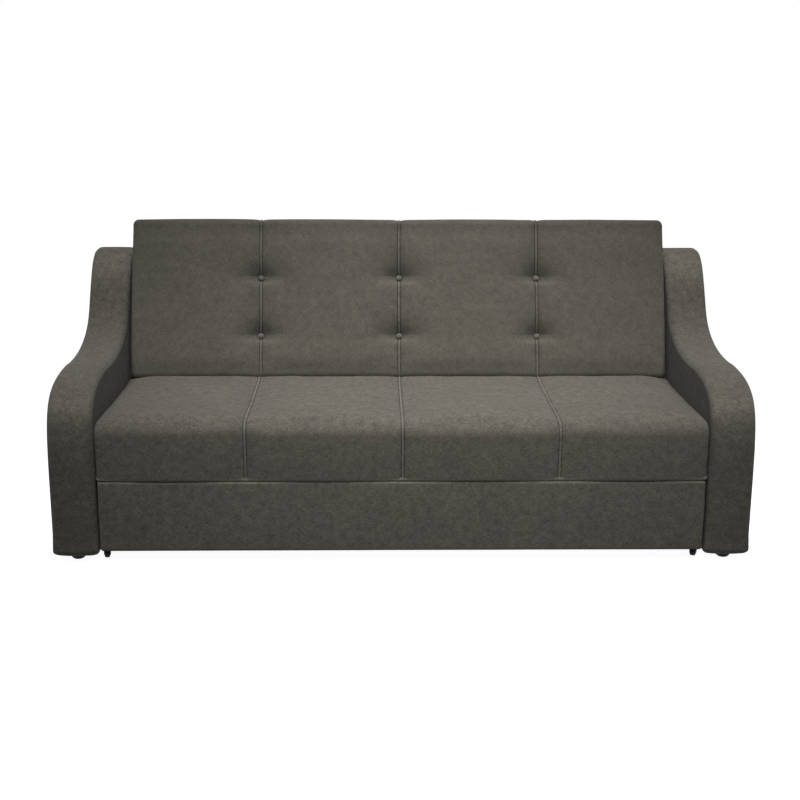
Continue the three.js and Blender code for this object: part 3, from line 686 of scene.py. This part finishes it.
def end_cap(loop, block, side):
    """Rings of points that close one end of a block, drawn in to the middle line of its section."""
    low, high = np.array(block.low), np.array(block.high)
    inner = np.min(high - low) / 2
    centre = np.clip(loop[:, 1:], low + inner, high - inner)
    rings = []
    for t in np.linspace(0, 1, 9)[1:]:
        ring = loop.copy()
        ring[:, 1:] += (centre - loop[:, 1:]) * t
        ring[:, 0] += side * block.puff * math.sin(t * math.pi / 2)
        rings.append(ring)
    return np.concatenate(rings)


def cap_faces(ring, start, count, turned):
    """Quads from a ring on to the others that follow it, whose points begin at start."""
    faces = []
    for first in range(start, start + count, len(ring)):
        after = np.arange(len(ring)) + first
        quads = np.stack([ring, np.roll(ring, -1), np.roll(after, -1), after], 1).tolist()
        faces += flipped(quads) if turned else quads
        ring = after
    return faces


def make_cover(name, block, xs, count, matrix=None, shift=None):
    """The finished cover of a block, with its channels, its swelling, its fine creases and its painted
    light and shade.
    """
    points, normals, softs, at = block.surface(xs, count, sewn=True)
    x, at, softs = xs[:, None], at[None, :], softs[None, :]
    if shift is not None:
        points = points + shift(xs, count)
    points[..., 0] += seam_drift(x, points[..., 2], softs)
    normal = np.zeros_like(points)
    normal[..., 1:] = normals
    points = points + normal * (softs * block.ruffle(points, x, at))[..., None]
    weave = np.stack(np.broadcast_arrays(points[..., 0], at, 0.0), -1)
    beside = gap_to_channels(x) if block.channels else np.ones_like(x)
    # Painted highlight along each channel's raised tape and painted shade in the grooves beside it, plus
    # the block's own painted light and shade.
    painted_light_and_shade = (0.3 * bell(beside, 3.7 * MM, 6) - 0.7 * bell(beside - SEW, 1.2 * MM)) * softs
    if block.shade:
        painted_light_and_shade = painted_light_and_shade + block.shade(points) * softs
    rubbed = block.contrast + 0.3 * np.clip(normal[..., 2], 0, 1) ** 3
    caps = [end_cap(points[0], block, -1), end_cap(points[-1], block, 1)]
    size = points[..., 0].size
    each = len(caps[0])
    faces = grid_faces(len(xs), count, True)
    faces += cap_faces(np.arange(count), size, each, True)
    faces += cap_faces(np.arange(size - count, size), size + each, each, False)
    plain = np.zeros(2 * each)
    marks = {
        "weave": np.concatenate([weave.reshape(-1, 3), *(cap[:, [1, 2, 0]] for cap in caps)]),
        "painted_light_and_shade": np.append(painted_light_and_shade, plain),
        "rubbed": np.append(rubbed, plain),
    }
    obj = make_object(name, np.concatenate([points.reshape(-1, 3), *caps]), faces, CLOTH, marks, matrix)
    merge_close(obj)
    return obj, points, normal


def short_rods(places, ways, rises, half, thick, sunk=0.0):
    """Short rods with rounded ends: stitches, or the crowns of staples."""
    sides = 6
    around = np.linspace(0, math.tau, sides, endpoint=False)[:, None]
    profile = np.array([(-1, 0.15), (-0.8, 0.7), (-0.35, 1), (0.35, 1), (0.8, 0.7), (1, 0.15)])
    size = sides * len(profile)
    faces = grid_faces(len(profile), sides, True)
    faces += [list(range(sides))[::-1], list(range(size - sides, size))]
    parts = []
    for place, way, rise in zip(places, ways, rises):
        ring = (np.cross(way, rise) * np.cos(around) + rise * np.sin(around)) * thick
        rings = [place + way * half * t + ring * k - rise * sunk for t, k in profile]
        parts.append((np.concatenate(rings), faces))
    return parts


STITCH_PITCH = 5.6 * MM
STITCH_HALF = 1.9 * MM
THREAD_RADIUS = 0.55 * MM


def make_stitches(name, block, xs, points, normals, matrix):
    """Short stitches lying in the sewn grooves of a cover, merged into one piece."""
    softs = block.section(points.shape[1])[2]
    keep = np.nonzero(softs > 0.5)[0]
    breaks = np.nonzero(np.diff(keep) > 1)[0]
    if len(breaks):
        keep = np.roll(keep, -breaks[0] - 1)
    parts = []
    for line in (c + side * SEW for c in block.channels for side in (-1, 1)):
        row = int(np.argmin(np.abs(xs - line)))
        path, up = points[row, keep], normals[row, keep]
        reach = reach_along(path)
        at = np.arange(STITCH_PITCH, reach[-1] - STITCH_PITCH, STITCH_PITCH)
        way = unit(sampled(path, reach, at + STITCH_HALF) - sampled(path, reach, at - STITCH_HALF))
        rise = unit(sampled(up, reach, at))
        place = sampled(path, reach, at)
        parts += short_rods(place, way, rise, STITCH_HALF, THREAD_RADIUS, -0.25 * MM)
    stitch_points, faces = gather(parts)
    return make_object(name, stitch_points, faces, THREAD, {"weave": stitch_points}, matrix)


def make_cushion(body, block, count, matrix=None):
    """The cover and the stitches of the seat or the back. Count is the number of points round it."""
    shift = swell(block)
    xs = block.stations()
    cover, points, normals = make_cover(f"{body}_cover", block, xs, count, matrix, shift)
    declare(cover, body, "upholstery", f"{body}_cushion")
    thread = make_stitches(f"{body}_stitches", block, xs, points, normals, matrix)
    declare(thread, body, "upholstery")


# Seat

SEAT_HALF = 0.951


def seat_outline(y, z):
    """The seat is fuller along its front edge, and drawn in at the rear behind the hinges' leaves."""
    lift = 9 * MM * ramp(z, 0.36, 0.06) * ramp(y, -0.2, -0.2)
    return np.where((y > 0.15) & (z < 0.405), np.minimum(y, 0.1582), y), z + lift


def seat_ends(x, places):
    """The seat's ends sink towards the arms, more at the rear than at the front. It has no buttons."""
    rear = ramp(places[None, :, 0], -0.43, 0.4)
    return (3 + 9 * rear) * MM * bell(SEAT_HALF - np.abs(x), 0.03 + 0.025 * rear), 0.0


def seat_held(x, points):
    """All of the cover below its top is held."""
    return ramp(points[..., 2], 0.435, -0.02)


SEAT = SoftBlock(
    low=(-0.4795, 0.265),
    high=(0.1613, 0.45),
    radii=(0.0025, 0.007, 0.03, 0.05),
    crowns=(0.005, 0.0015),
    half=SEAT_HALF,
    edge=0.016,
    creases=(5, (0.9 * MM, 0.16), (0.35 * MM, 0.06)),
    channels=CHANNELS,
    pillow=6 * MM,
    pucker_seed=3,
    contrast=0.08,
    fade=(0, 0.06, 0.07, 0.7),
    firm=(0.262, 0.05),
    hollow=(0.9355, -0.459, 0.158, 0.31),
    reshape=seat_outline,
    deepen=seat_ends,
    held=seat_held,
)


# Back, in its own frame


def tuft_depth(x, places):
    """How far the buttons pull the cover in: steep below each button and drawn out above and beside it."""
    total, at_button = 0.0, 0.0
    front = places[None, :, 0] < 0.02
    for c, row in TUFTS:
        dx, dz = x - c, places[None, :, 1] - row
        above = bell(np.maximum(dz - 7 * MM, 0), 0.037, 1.4)
        below = bell(np.maximum(-dz - 8.5 * MM, 0), 0.013)
        beside = bell(np.maximum(np.abs(dx) - 7 * MM, 0), 0.043, 1.5)
        total = total + 19 * MM * beside * above * below * front
        at_button = at_button + bell(np.hypot(dx, dz), 0.0135, 6) * front
    return total, at_button


def painted_tuft_shade(points):
    """Painted shade in the folds above the buttons, in a thin ring round each button and in the crease over
    the seat.
    """
    x, y, z = np.moveaxis(points, -1, 0)
    front = y < 0.03
    total = -0.2 * bell(z - 0.02, 0.028)
    for c, row in TUFTS:
        rise = z - row - 4 * MM
        wide = 0.066 - 0.55 * np.clip(rise, 0, 0.07)
        fold_shade = bell(x - c, wide) * bell(np.maximum(rise, 0), 0.05, 1.5) * ramp(rise, -4 * MM, 5 * MM)
        rim = bell(np.hypot(x - c, z - row) - 11.2 * MM, 2.2 * MM)
        total = total - (0.5 * fold_shade + 0.35 * rim) * front
    return np.maximum(total, -0.6)


def back_outline(y, z):
    """The back's underside is drawn in behind the hinges' leaves."""
    return y, np.where((y > 0.016) & (z < 0.01), np.maximum(z, 4.8 * MM), z)


def back_held(x, points):
    """The top and bottom edges and the places round the buttons are held."""
    z = points[..., 2]
    held = np.maximum(ramp(z, 0.5, 0.05), ramp(z, 0.06, -0.05))
    for row in TUFT_ROWS:
        away = np.hypot(gap_to_channels(x), z - row - 0.01)
        held = np.maximum(held, ramp(away, 0.05, -0.03))
    return held


BACK = SoftBlock(
    low=(-0.02, 0.0012),
    high=(0.0985, 0.577),
    radii=(0.03, 0.012, 0.014, 0.026),
    crowns=(0.0, 0.008),
    half=0.944,
    edge=0.02,
    creases=(9, (1.0 * MM, 0.15), (0.4 * MM, 0.055)),
    channels=CHANNELS,
    pillow=6 * MM,
    pucker_seed=8,
    contrast=-0.22,
    fade=(1, 0.53, 0.035, 0.6),
    reshape=back_outline,
    deepen=tuft_depth,
    held=back_held,
    shade=painted_tuft_shade,
)


def make_buttons():
    """Covered buttons: a domed cap with its cloth gathered in under the rim."""
    profile = [
        (TIP, 8.2), (3, 8.0), (5.6, 7.3), (7.8, 6.0), (9.4, 4.2),
        (10.1, 2.4), (9.9, 0.9), (8.6, 0.0), (4, -0.4),
    ]
    gathers = 11
    for i in range(len(TUFTS)):
        node = f"back_button_{i + 1}"
        centre = BACK_FRAME.inverted() @ middle(node)
        points, faces = lathe(profile, 40)
        angle = np.arctan2(points[:, 1], points[:, 0])
        rim = ramp(np.hypot(points[:, 0], points[:, 1]), 7 * MM, 3 * MM)
        points[:, 2] += 0.25 * MM * rim * np.sin(angle * gathers + i)
        local = points[:, [0, 2, 1]] * (1, -1, 1) + (centre.x, centre.y + 2.2 * MM, centre.z)
        # Each button's cloth gets a painted highlight.
        marks = {"weave": points + (0.1 * i, 0, 0), "painted_light_and_shade": np.full(len(local), 0.35)}
        obj = make_object(f"button_cover_{i + 1}", local, faces, CLOTH, marks, BACK_FRAME)
        declare(obj, "back", "upholstery", node)


# Front panel


def panel_painted_highlight(points):
    """A painted highlight along the panel's top edge, stronger to the left."""
    edge = bell(points[..., 2] - 0.2625, 2.8 * MM)
    return 0.4 * edge * np.clip(0.8 - 0.5 * points[..., 0], 0.4, 1.2)


PANEL = SoftBlock(
    low=(-0.4775, 0.036),
    high=(-0.4495, 0.2641),
    radii=(0.006, 0.008, 0.008, 0.0035),
    crowns=(0.0, 0.003),
    half=0.947,
    edge=0.008,
    creases=(12, (0.7 * MM, 0.19), (0.25 * MM, 0.05)),
    puff=0.5 * MM,
    contrast=0.12,
    firm=(0.2635, -0.04),
    shade=panel_painted_highlight,
)


def make_panel():
    cover, _, _ = make_cover("front_panel_cover", PANEL, PANEL.stations(), 90)
    declare(cover, "seat", "upholstery", "front_panel")


# Arms, in millimetres from the front foot of their middle plane

ARM_COLUMNS, ARM_ROWS = 96, 46
ARM_HALF = 70
ARM_EDGE = 19.0
FOOT_RADIUS = 24
TOP_RADIUS = 45


def bezier(a, b, c, d, count):
    t = np.linspace(0, 1, count)[:, None]
    a, b, c, d = (np.array(p, float) for p in (a, b, c, d))
    return a * (1 - t) ** 3 + 3 * b * t * (1 - t) ** 2 + 3 * c * t**2 * (1 - t) + d * t**3


def arc(y, z, radius, start, turn, count):
    a = np.radians(np.linspace(start, start + turn, count))
    return np.stack([y + radius * np.cos(a), z + radius * np.sin(a)], 1)


def even(path, count):
    """The path resampled to evenly spaced points, ends included."""
    reach = reach_along(path)
    return sampled(path, reach, np.linspace(0, reach[-1], count))


def arm_sides():
    """The arm's side view: its bottom, rear, top and front edges."""
    slope = math.radians(57.7)
    rise, lead = np.array([721, 671]), np.array([math.cos(slope), math.sin(slope)])
    front_foot, rear_foot, rear_top = (24, 46, FOOT_RADIUS), (951, 46, FOOT_RADIUS), (930, 815, TOP_RADIUS)
    lip, dip = (0, 235), (308, 570)
    bottom = np.concatenate([arc(*front_foot, 225, 45, 10), arc(*rear_foot, 270, 45, 10)])
    rear = np.concatenate([arc(*rear_foot, 315, 45, 10), arc(*rear_top, 0, 45, 14)])
    top = np.concatenate([
        bezier(lip, (0, 507), (19, 570), dip, 80),
        bezier(dip, dip, rise - 161 * lead, rise, 80)[1:],
        bezier(rise, rise + 108 * lead, (825, 860), (905, 860), 60)[1:],
        arc(*rear_top, 90, -45, 14),
    ])
    front = np.concatenate([arc(*front_foot, 225, -45, 10), [lip]])
    return bottom, rear, top, front


def arm_loop():
    """The side view as one loop of even points, and the way out at each of them."""
    bottom, rear, top, front = arm_sides()
    sides = [even(bottom, ARM_COLUMNS), even(rear, ARM_ROWS)]
    sides += [even(top, ARM_COLUMNS)[::-1], even(front, ARM_ROWS)[::-1]]
    loop = np.concatenate([side[:-1] for side in sides])
    way = unit(np.roll(loop, -1, 0) - np.roll(loop, 1, 0))
    outward = np.stack([way[:, 1], -way[:, 0]], 1)
    for _ in range(3):
        outward = unit(outward + 0.5 * (np.roll(outward, 1, 0) + np.roll(outward, -1, 0)))
    return loop, outward


def arm_band(loop, outward):
    """The band round the arm: where its rows lie across the arm, and its points."""
    turn = np.linspace(0, math.pi / 2, 8)
    narrow, inset = ARM_EDGE * (1 - np.sin(turn)), ARM_EDGE * (1 - np.cos(turn))
    flat = np.linspace(-50, 50, 12)[1:-1]
    across = np.concatenate([narrow[::-1] - ARM_HALF, flat, ARM_HALF - narrow])
    insets = np.concatenate([inset[::-1], np.zeros(len(flat)), inset])
    crown = 2.4 * (1 - (across / ARM_HALF) ** 2)
    height = loop[:, 1]
    lifted = ramp(height, 60, 60) - 0.8 * ramp(height, 700, 80) + 1.6 * ramp(height, 50, -20)
    square = 0.3 + 0.7 * ramp(height, 40, 50)
    settled = 3.0 * ramp(height, 820, 40)
    out = crown[:, None] * lifted - insets[:, None] * square - settled
    band = np.empty((len(across), len(loop), 3))
    band[..., 0] = across[:, None]
    band[..., 1:] = loop + outward * out[..., None]
    return across, band


def arm_face(edge, puff):
    """A grid of points that fills one edge of the band, and how far in from the edge each one lies."""
    corners = np.cumsum([ARM_COLUMNS - 1, ARM_ROWS - 1, ARM_COLUMNS - 1])
    low = edge[: corners[0] + 1]
    right = edge[corners[0] : corners[1] + 1]
    high = edge[corners[1] : corners[2] + 1][::-1]
    left = np.concatenate([edge[corners[2] :], edge[:1]])[::-1]
    u = np.linspace(0, 1, ARM_COLUMNS)[None, :, None]
    v = np.linspace(0, 1, ARM_ROWS)[:, None, None]
    ruled = (1 - v) * low[None] + v * high[None] + (1 - u) * left[:, None] + u * right[:, None]
    flat = (1 - u) * (1 - v) * low[0] + u * (1 - v) * low[-1] + (1 - u) * v * high[0] + u * v * high[-1]
    inside = ((1 - np.abs(2 * u - 1) ** 4) * (1 - np.abs(2 * v - 1) ** 4))[..., 0]
    points = ruled - flat
    points[..., 0] += puff * inside
    return points.reshape(-1, 3), inside.ravel()


def arm_painted_light(loop, outward):
    """Painted highlight on the arm's roll and on its wave, and painted shade on its front."""
    front, up = -outward[:, 0], outward[:, 1]
    roll_highlight = 0.36 * bell(up - 0.6, 0.22) * (loop[:, 0] < 300) * (front > 0)
    roll_highlight += 0.55 * ramp(loop[:, 1], 730, 70) * (loop[:, 0] < 900)
    return roll_highlight - 0.12 * ramp(front, 0.9, 0.1)


def make_arms():
    """Both arms' covers. The inner face comes before the outer one, and its cloth has painted shade."""
    loop, outward = arm_loop()
    across, band = arm_band(loop, outward)
    rows, count = band.shape[:2]
    inner, inside = arm_face(band[0], -1.2)
    outer, _ = arm_face(band[-1], 4.0)
    points = np.concatenate([band.reshape(-1, 3), inner, outer])
    start, after_inner = rows * count, rows * count + len(inner)
    faces = flipped(grid_faces(rows, count, True))
    faces += flipped(grid_faces(ARM_ROWS, ARM_COLUMNS, start=start))
    faces += grid_faces(ARM_ROWS, ARM_COLUMNS, start=after_inner)
    rolled = np.stack(np.broadcast_arrays(across[:, None], reach_along(loop), 0.0), -1).reshape(-1, 3)
    # Painted light and shade on the arms: highlight on the roll and wave, shade on the front, on the inner
    # face and along the band's inner edge.
    arm_light_and_shade = np.zeros(len(points))
    arm_light_and_shade[:start] = np.tile(arm_painted_light(loop, outward), rows)
    arm_light_and_shade[start:after_inner] = -0.45
    arm_light_and_shade[:count] = -0.45
    marks = {
        "weave": np.concatenate([rolled, points[start:][:, [1, 2, 0]]]) * MM,
        "painted_light_and_shade": arm_light_and_shade,
        "rubbed": np.full(len(points), 0.15),
    }
    fade = np.concatenate([np.repeat(1 - np.abs(across / ARM_HALF) ** 6, count), inside, inside])
    for name, side, seed in (("left", -1, 20), ("right", 1, 30)):
        placed = points * MM
        placed[:, 0] = side * (placed[:, 0] + ARM_MIDDLE)
        placed[:, 1] += ARM_FRONT
        normal = np.zeros_like(placed)
        normal[:start, 1:] = np.tile(outward, (rows, 1))
        normal[start:, 0] = np.sign(placed[start:, 0] - side * ARM_MIDDLE)
        creases = waves(placed, seed, (0.8, 0.17), (0.4, 0.06))
        placed += normal * (creases * fade * MM)[:, None]
        obj = make_object(f"arm_cover_{name}", placed, faces if side > 0 else flipped(faces), CLOTH, marks)
        merge_close(obj)
        declare(obj, "base", "upholstery", f"arm_{name}")


# Small and hard pieces


def make_feet():
    profile = [
        (TIP, 0), (11.5, 0), (13, 0.5), (16.5, 1.6), (19.8, 4.2), (22.4, 8.2),
        (24.2, 13.2), (25, 18.6), (24.8, 21.2), (24.2, 22.4), (TIP, 22.4),
    ]
    for place in ("front_left", "front_right", "rear_left", "rear_right"):
        centre = middle(f"foot_{place}")
        points, faces = lathe(profile, 48, (centre.x, centre.y, 0))
        obj = make_object(f"foot_glide_{place}", points, faces, PLASTIC)
        declare(obj, "base", "black_plastic", f"foot_{place}")


def make_castor_wheels():
    half = [
        (2.6, -7), (7.2, -7), (7.6, -6.6), (8.2, -6.0), (9.6, -6.0), (10.2, -6.7),
        (11.4, -7), (12.4, -6.3), (12.9, -4.6), (13, -2.4),
    ]
    profile = [*half, (13, 0), *((radius, -height) for radius, height in half[::-1])]
    for name, turn in CASTOR_TURNS.items():
        points, faces = lathe(profile, 48, axis="X")
        matrix = Matrix.Translation(middle(f"castor_wheel_{name}")) @ Matrix.Rotation(turn, 4, "Z")
        obj = make_object(f"castor_tyre_{name}", points, faces, TREAD, matrix=matrix)
        declare(obj, f"wheel_{name}", "castor_tread", f"castor_wheel_{name}")


def make_castor_cheeks():
    """Tapered ribs on both cheeks of each castor's fork."""
    # Each row's height, and its inner and outer sides, front and rear.
    rows = [
        (36.4, 7.6, 13.6, -11, 9),
        (28, 7.6, 12.9, -12.5, 6.5),
        (17, 7.6, 10.4, -12.5, 0),
        (8.5, 7.6, 8.8, -10.5, -3.5),
    ]
    taper = 1.5
    corners = [
        [(inside, front, z), (outside, front + taper, z), (outside, rear - taper, z), (inside, rear, z)]
        for z, inside, outside, front, rear in rows
    ]
    points = np.array(corners, float).reshape(-1, 3) * MM
    faces = grid_faces(len(rows), 4, True) + [[3, 2, 1, 0], [12, 13, 14, 15]]
    both = gather([(points * (-1, 1, 1), faces), (points, flipped(faces))])
    for (name, turn), side in zip(CASTOR_TURNS.items(), (-1, 1)):
        matrix = Matrix.Translation((side * CASTOR_X, CASTOR_Y, 0)) @ Matrix.Rotation(turn, 4, "Z")
        obj = make_object(f"castor_cheeks_{name}", *both, PLASTIC, matrix=matrix)
        merge_close(obj)
        soften_edges(obj, 0.8 * MM)
        declare(obj, f"castor_{name}", "black_plastic")


STAPLE_PITCH = 0.045
STAPLE_INSET = 7 * MM


def make_staples(name, matrix, half, low, high, y, body):
    """Staples along all four edges of a lining, each in line with its edge."""
    xs = np.arange(-half + STAPLE_PITCH / 2, half - 0.01, STAPLE_PITCH)
    zs = np.arange(low + 0.03, high - 0.02, STAPLE_PITCH)
    spots = [(x, z, (1, 0, 0)) for z in (low + STAPLE_INSET, high - STAPLE_INSET) for x in xs]
    spots += [(x, z, (0, 0, 1)) for x in (-half + STAPLE_INSET, half - STAPLE_INSET) for z in zs]
    centres = np.array([(x, y + 0.25 * MM, z) for x, z, _ in spots])
    ways = np.array([way for _, _, way in spots], float)
    rises = np.tile((0.0, 1.0, 0.0), (len(spots), 1))
    parts = short_rods(centres, ways, rises, 5 * MM, 0.55 * MM)
    declare(make_object(name, *gather(parts), ZINC, matrix=matrix), body, "zinc_steel")


def make_lining(name, matrix, half, low, high, y, body, nodes, seed):
    """A dark lining drawn over the rear of the back or over the panel between the arms."""
    columns, rows = 160, 56
    u, v = np.meshgrid(np.linspace(-1, 1, columns), np.linspace(0, 1, rows))
    place = np.stack([u * half, low + (high - low) * v, 0 * u], -1)
    from_edge = 1 - np.abs(2 * v - 1)
    pull = bell(from_edge, 0.12, 1) * np.cos(place[..., 0] * math.tau / STAPLE_PITCH) ** 2
    lift = (1 - u**8) * (1 - (2 * v - 1) ** 8) * (0.5 + waves(place, seed, (0.3, 0.11), (0.15, 0.04)))
    points = np.stack([place[..., 0], y + MM * (lift + 0.35 * pull), place[..., 1]], -1)
    marks = {"weave": place.reshape(-1, 3)}
    obj = make_object(name, points.reshape(-1, 3), grid_faces(rows, columns), LINING, marks, matrix)
    thick = obj.modifiers.new("thickness", "SOLIDIFY")
    thick.thickness = 0.8 * MM
    thick.offset = 1
    declare(obj, body, "lining", *nodes)
    make_staples(f"{name}_staples", matrix, half, low, high, y, body)


def make_linings():
    make_lining(
        "back_dust_cloth", BACK_FRAME, half=0.9275, low=0.0045, high=0.5605, y=0.0992, body="back",
        nodes=["back_rear_cover"], seed=41,
    )
    make_lining(
        "rear_panel_cloth", None, half=0.951, low=0.049, high=0.426, y=0.4736, body="base",
        nodes=[], seed=51,
    )


def make_screws():
    """Screws with a driver socket in the hinge leaves and the runners."""
    profile = [(TIP, 0.1), (0.9, 0.15), (1.15, 1.0), (2.6, 0.85), (3.6, 0.35), (3.9, -0.2)]
    beside = 0.016
    hinges = (-0.7449, 0, 0.7449)
    seat_rows = ((-1, 0.285), (1, 0.285), (-1, 0.335), (1, 0.335), (0, 0.385))
    back_rows = ((-1, 0.03), (1, 0.03), (0, 0.055), (-1, 0.08), (1, 0.08))
    runner_row = (-0.34, -0.2, -0.05, 0.12)
    # Each screw's place, the axis that it lies along and the way that its head points.
    groups = {
        "seat": [(x + side * beside, 0.1615, z, "Y", 1) for x in hinges for side, z in seat_rows],
        "back": [(x + side * beside, y, 0.001, "Z", -1) for x in hinges for side, y in back_rows],
        "base": [(side * 0.931, y, 0.2, "X", -side) for side in (-1, 1) for y in runner_row],
    }
    for body, spots in groups.items():
        parts = []
        for x, y, z, axis, way in spots:
            points, faces = lathe([(r, h * way) for r, h in profile], 20, (x, y, z), axis)
            parts.append((points, faces if way < 0 else flipped(faces)))
        matrix = BACK_FRAME if body == "back" else None
        declare(make_object(f"{body}_screws", *gather(parts), ZINC, matrix=matrix), body, "zinc_steel")


def dress_nodes():
    """Gives each CAD node that stays its material, by how its name begins, and softens its edges."""
    finishes = {
        PINE_X: "seat_front_rail seat_rear_rail back_bottom_rail back_top_rail bed_support rear_stretcher",
        PINE_Y: "seat_side_rail seat_cross_rail runner",
        PINE_Z: "back_stile back_mid_stile front_post",
        DECK: "seat_deck",
        BOARD: "front_panel_board",
        LINED_BOARD: "rear_panel",
        PAINTED: "guide castor_plate",
        PLASTIC: "castor_fork",
        NYLON: "guide_stud rear_roller",
        ZINC: "roller_bracket seat_hinge_leaf back_hinge_leaf",
    }
    finish_of = {beginning: finish for finish, names in finishes.items() for beginning in names.split()}
    wide_edged = (PINE_X, PINE_Y, PINE_Z, DECK, BOARD, LINED_BOARD)
    for name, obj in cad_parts.items():
        beginnings = [beginning for beginning in finish_of if name.startswith(beginning)]
        if obj.hide_render or not beginnings:
            continue
        finish = finish_of[max(beginnings, key=len)]
        obj.data.materials.clear()
        obj.data.materials.append(finish)
        bevel = soften_edges(obj, (1.5 if finish in wide_edged else 0.4) * MM)
        bevel.limit_method = "ANGLE"
        bevel.angle_limit = math.radians(38)


# Camera, floor and light


def make_camera():
    """The photograph's camera: 800 pixels wide, with a focal length of 1350 pixels."""
    camera = place_object("camera", bpy.data.cameras.new("camera"))
    camera.data.sensor_width = 36
    camera.data.lens = 36 * 1350 / 800
    camera.location = (-0.093, -4.4614, 1.5964)
    turned, tilted_down, rolled = -1.193, 15.012, 0.261
    camera.rotation_euler = (
        Matrix.Rotation(math.radians(turned), 3, "Z")
        @ Matrix.Rotation(math.radians(90 - tilted_down), 3, "X")
        @ Matrix.Rotation(math.radians(rolled), 3, "Z")
    ).to_euler()
    bpy.context.scene.camera = camera


def make_floor():
    """A wide floor that throws little light back, and that glows so that it is seen as white."""
    n = Nodes(bpy.data.materials.new("pale_floor"))
    seen = n.seen()
    n.finish(Base_Color=n.mix(seen, (0.2,) * 3, (0.55,) * 3), Roughness=0.9, Specular_IOR_Level=0.0)
    place = n.scaled(n.coordinates(), (1 / 1.5, 1 / 0.9, 0))
    away = n.add("ShaderNodeVectorMath", {0: place}, operation="LENGTH").outputs["Value"]
    level = n.spread(away, 0.8, 1.3, 0.95, 1.0)
    glow = n.add("ShaderNodeEmission", {"Strength": n.math("MULTIPLY", seen, level)})
    both = n.add("ShaderNodeAddShader", {0: n.shader, 1: glow})
    n.feed(n.tree.nodes["Material Output"].inputs["Surface"], both)
    reach = 30.0
    corners = [(-reach, -reach, 0), (reach, -reach, 0), (reach, reach, 0), (-reach, reach, 0)]
    make_object("floor", corners, [[0, 1, 2, 3]], n.owner)


def make_world():
    """A studio that is white to look at and dim as a light."""
    world = bpy.data.worlds.new("studio")
    bpy.context.scene.world = world
    n = Nodes(world)
    n.tree.nodes.clear()
    white = (1, 1, 1)
    lit, looked_at = (n.add("ShaderNodeBackground", {"Color": white, "Strength": s}) for s in (0.06, 1.0))
    either = n.add("ShaderNodeMixShader", {0: n.seen(), 1: lit, 2: looked_at})
    n.add("ShaderNodeOutputWorld", {"Surface": either})


def make_lamp(name, place, target, cone, radius, power):
    """A far soft spot light that fades out towards the edge of its cone."""
    data = bpy.data.lights.new(name, "SPOT")
    data.energy = power
    data.spot_size = math.radians(cone)
    data.spot_blend = 1.0
    data.shadow_soft_size = radius
    obj = place_object(name, data)
    obj.location = place
    obj.rotation_euler = (Vector(target) - Vector(place)).to_track_quat("-Z", "Y").to_euler()


def make_lamps():
    """Each lamp's place and target in metres, its cone in degrees, its radius in metres and its watts."""
    make_lamp("key", (0.1, -3.2, 6.4), (0.12, -0.1, 0.4), 30, 0.9, 1120)
    make_lamp("top", (0.1, -0.9, 6.8), (0.05, -0.2, 0.4), 20, 0.5, 860)
    make_lamp("front_fill", (0.1, -7, 1.6), (0.12, 0, 0.4), 22.5, 0.7, 190)
    for side in (-1, 1):
        make_lamp("arm_top", (side * 2.1, -2.3, 5.7), (side * 1.12, -0.1, 0.65), 15, 0.5, 500)
        make_lamp("rear_fill", (side * 1.5, 6.2, 1.3), (0, 0, 0.5), 40, 0.9, 330)


make_camera()
make_floor()
make_world()
make_lamps()
bpy.context.scene.view_settings.view_transform = "Standard"
make_arms()
make_cushion("seat", SEAT, 300)
make_panel()
make_cushion("back", BACK, 260, matrix=BACK_FRAME)
make_buttons()
make_feet()
make_castor_wheels()
make_castor_cheeks()
make_linings()
make_screws()
dress_nodes()
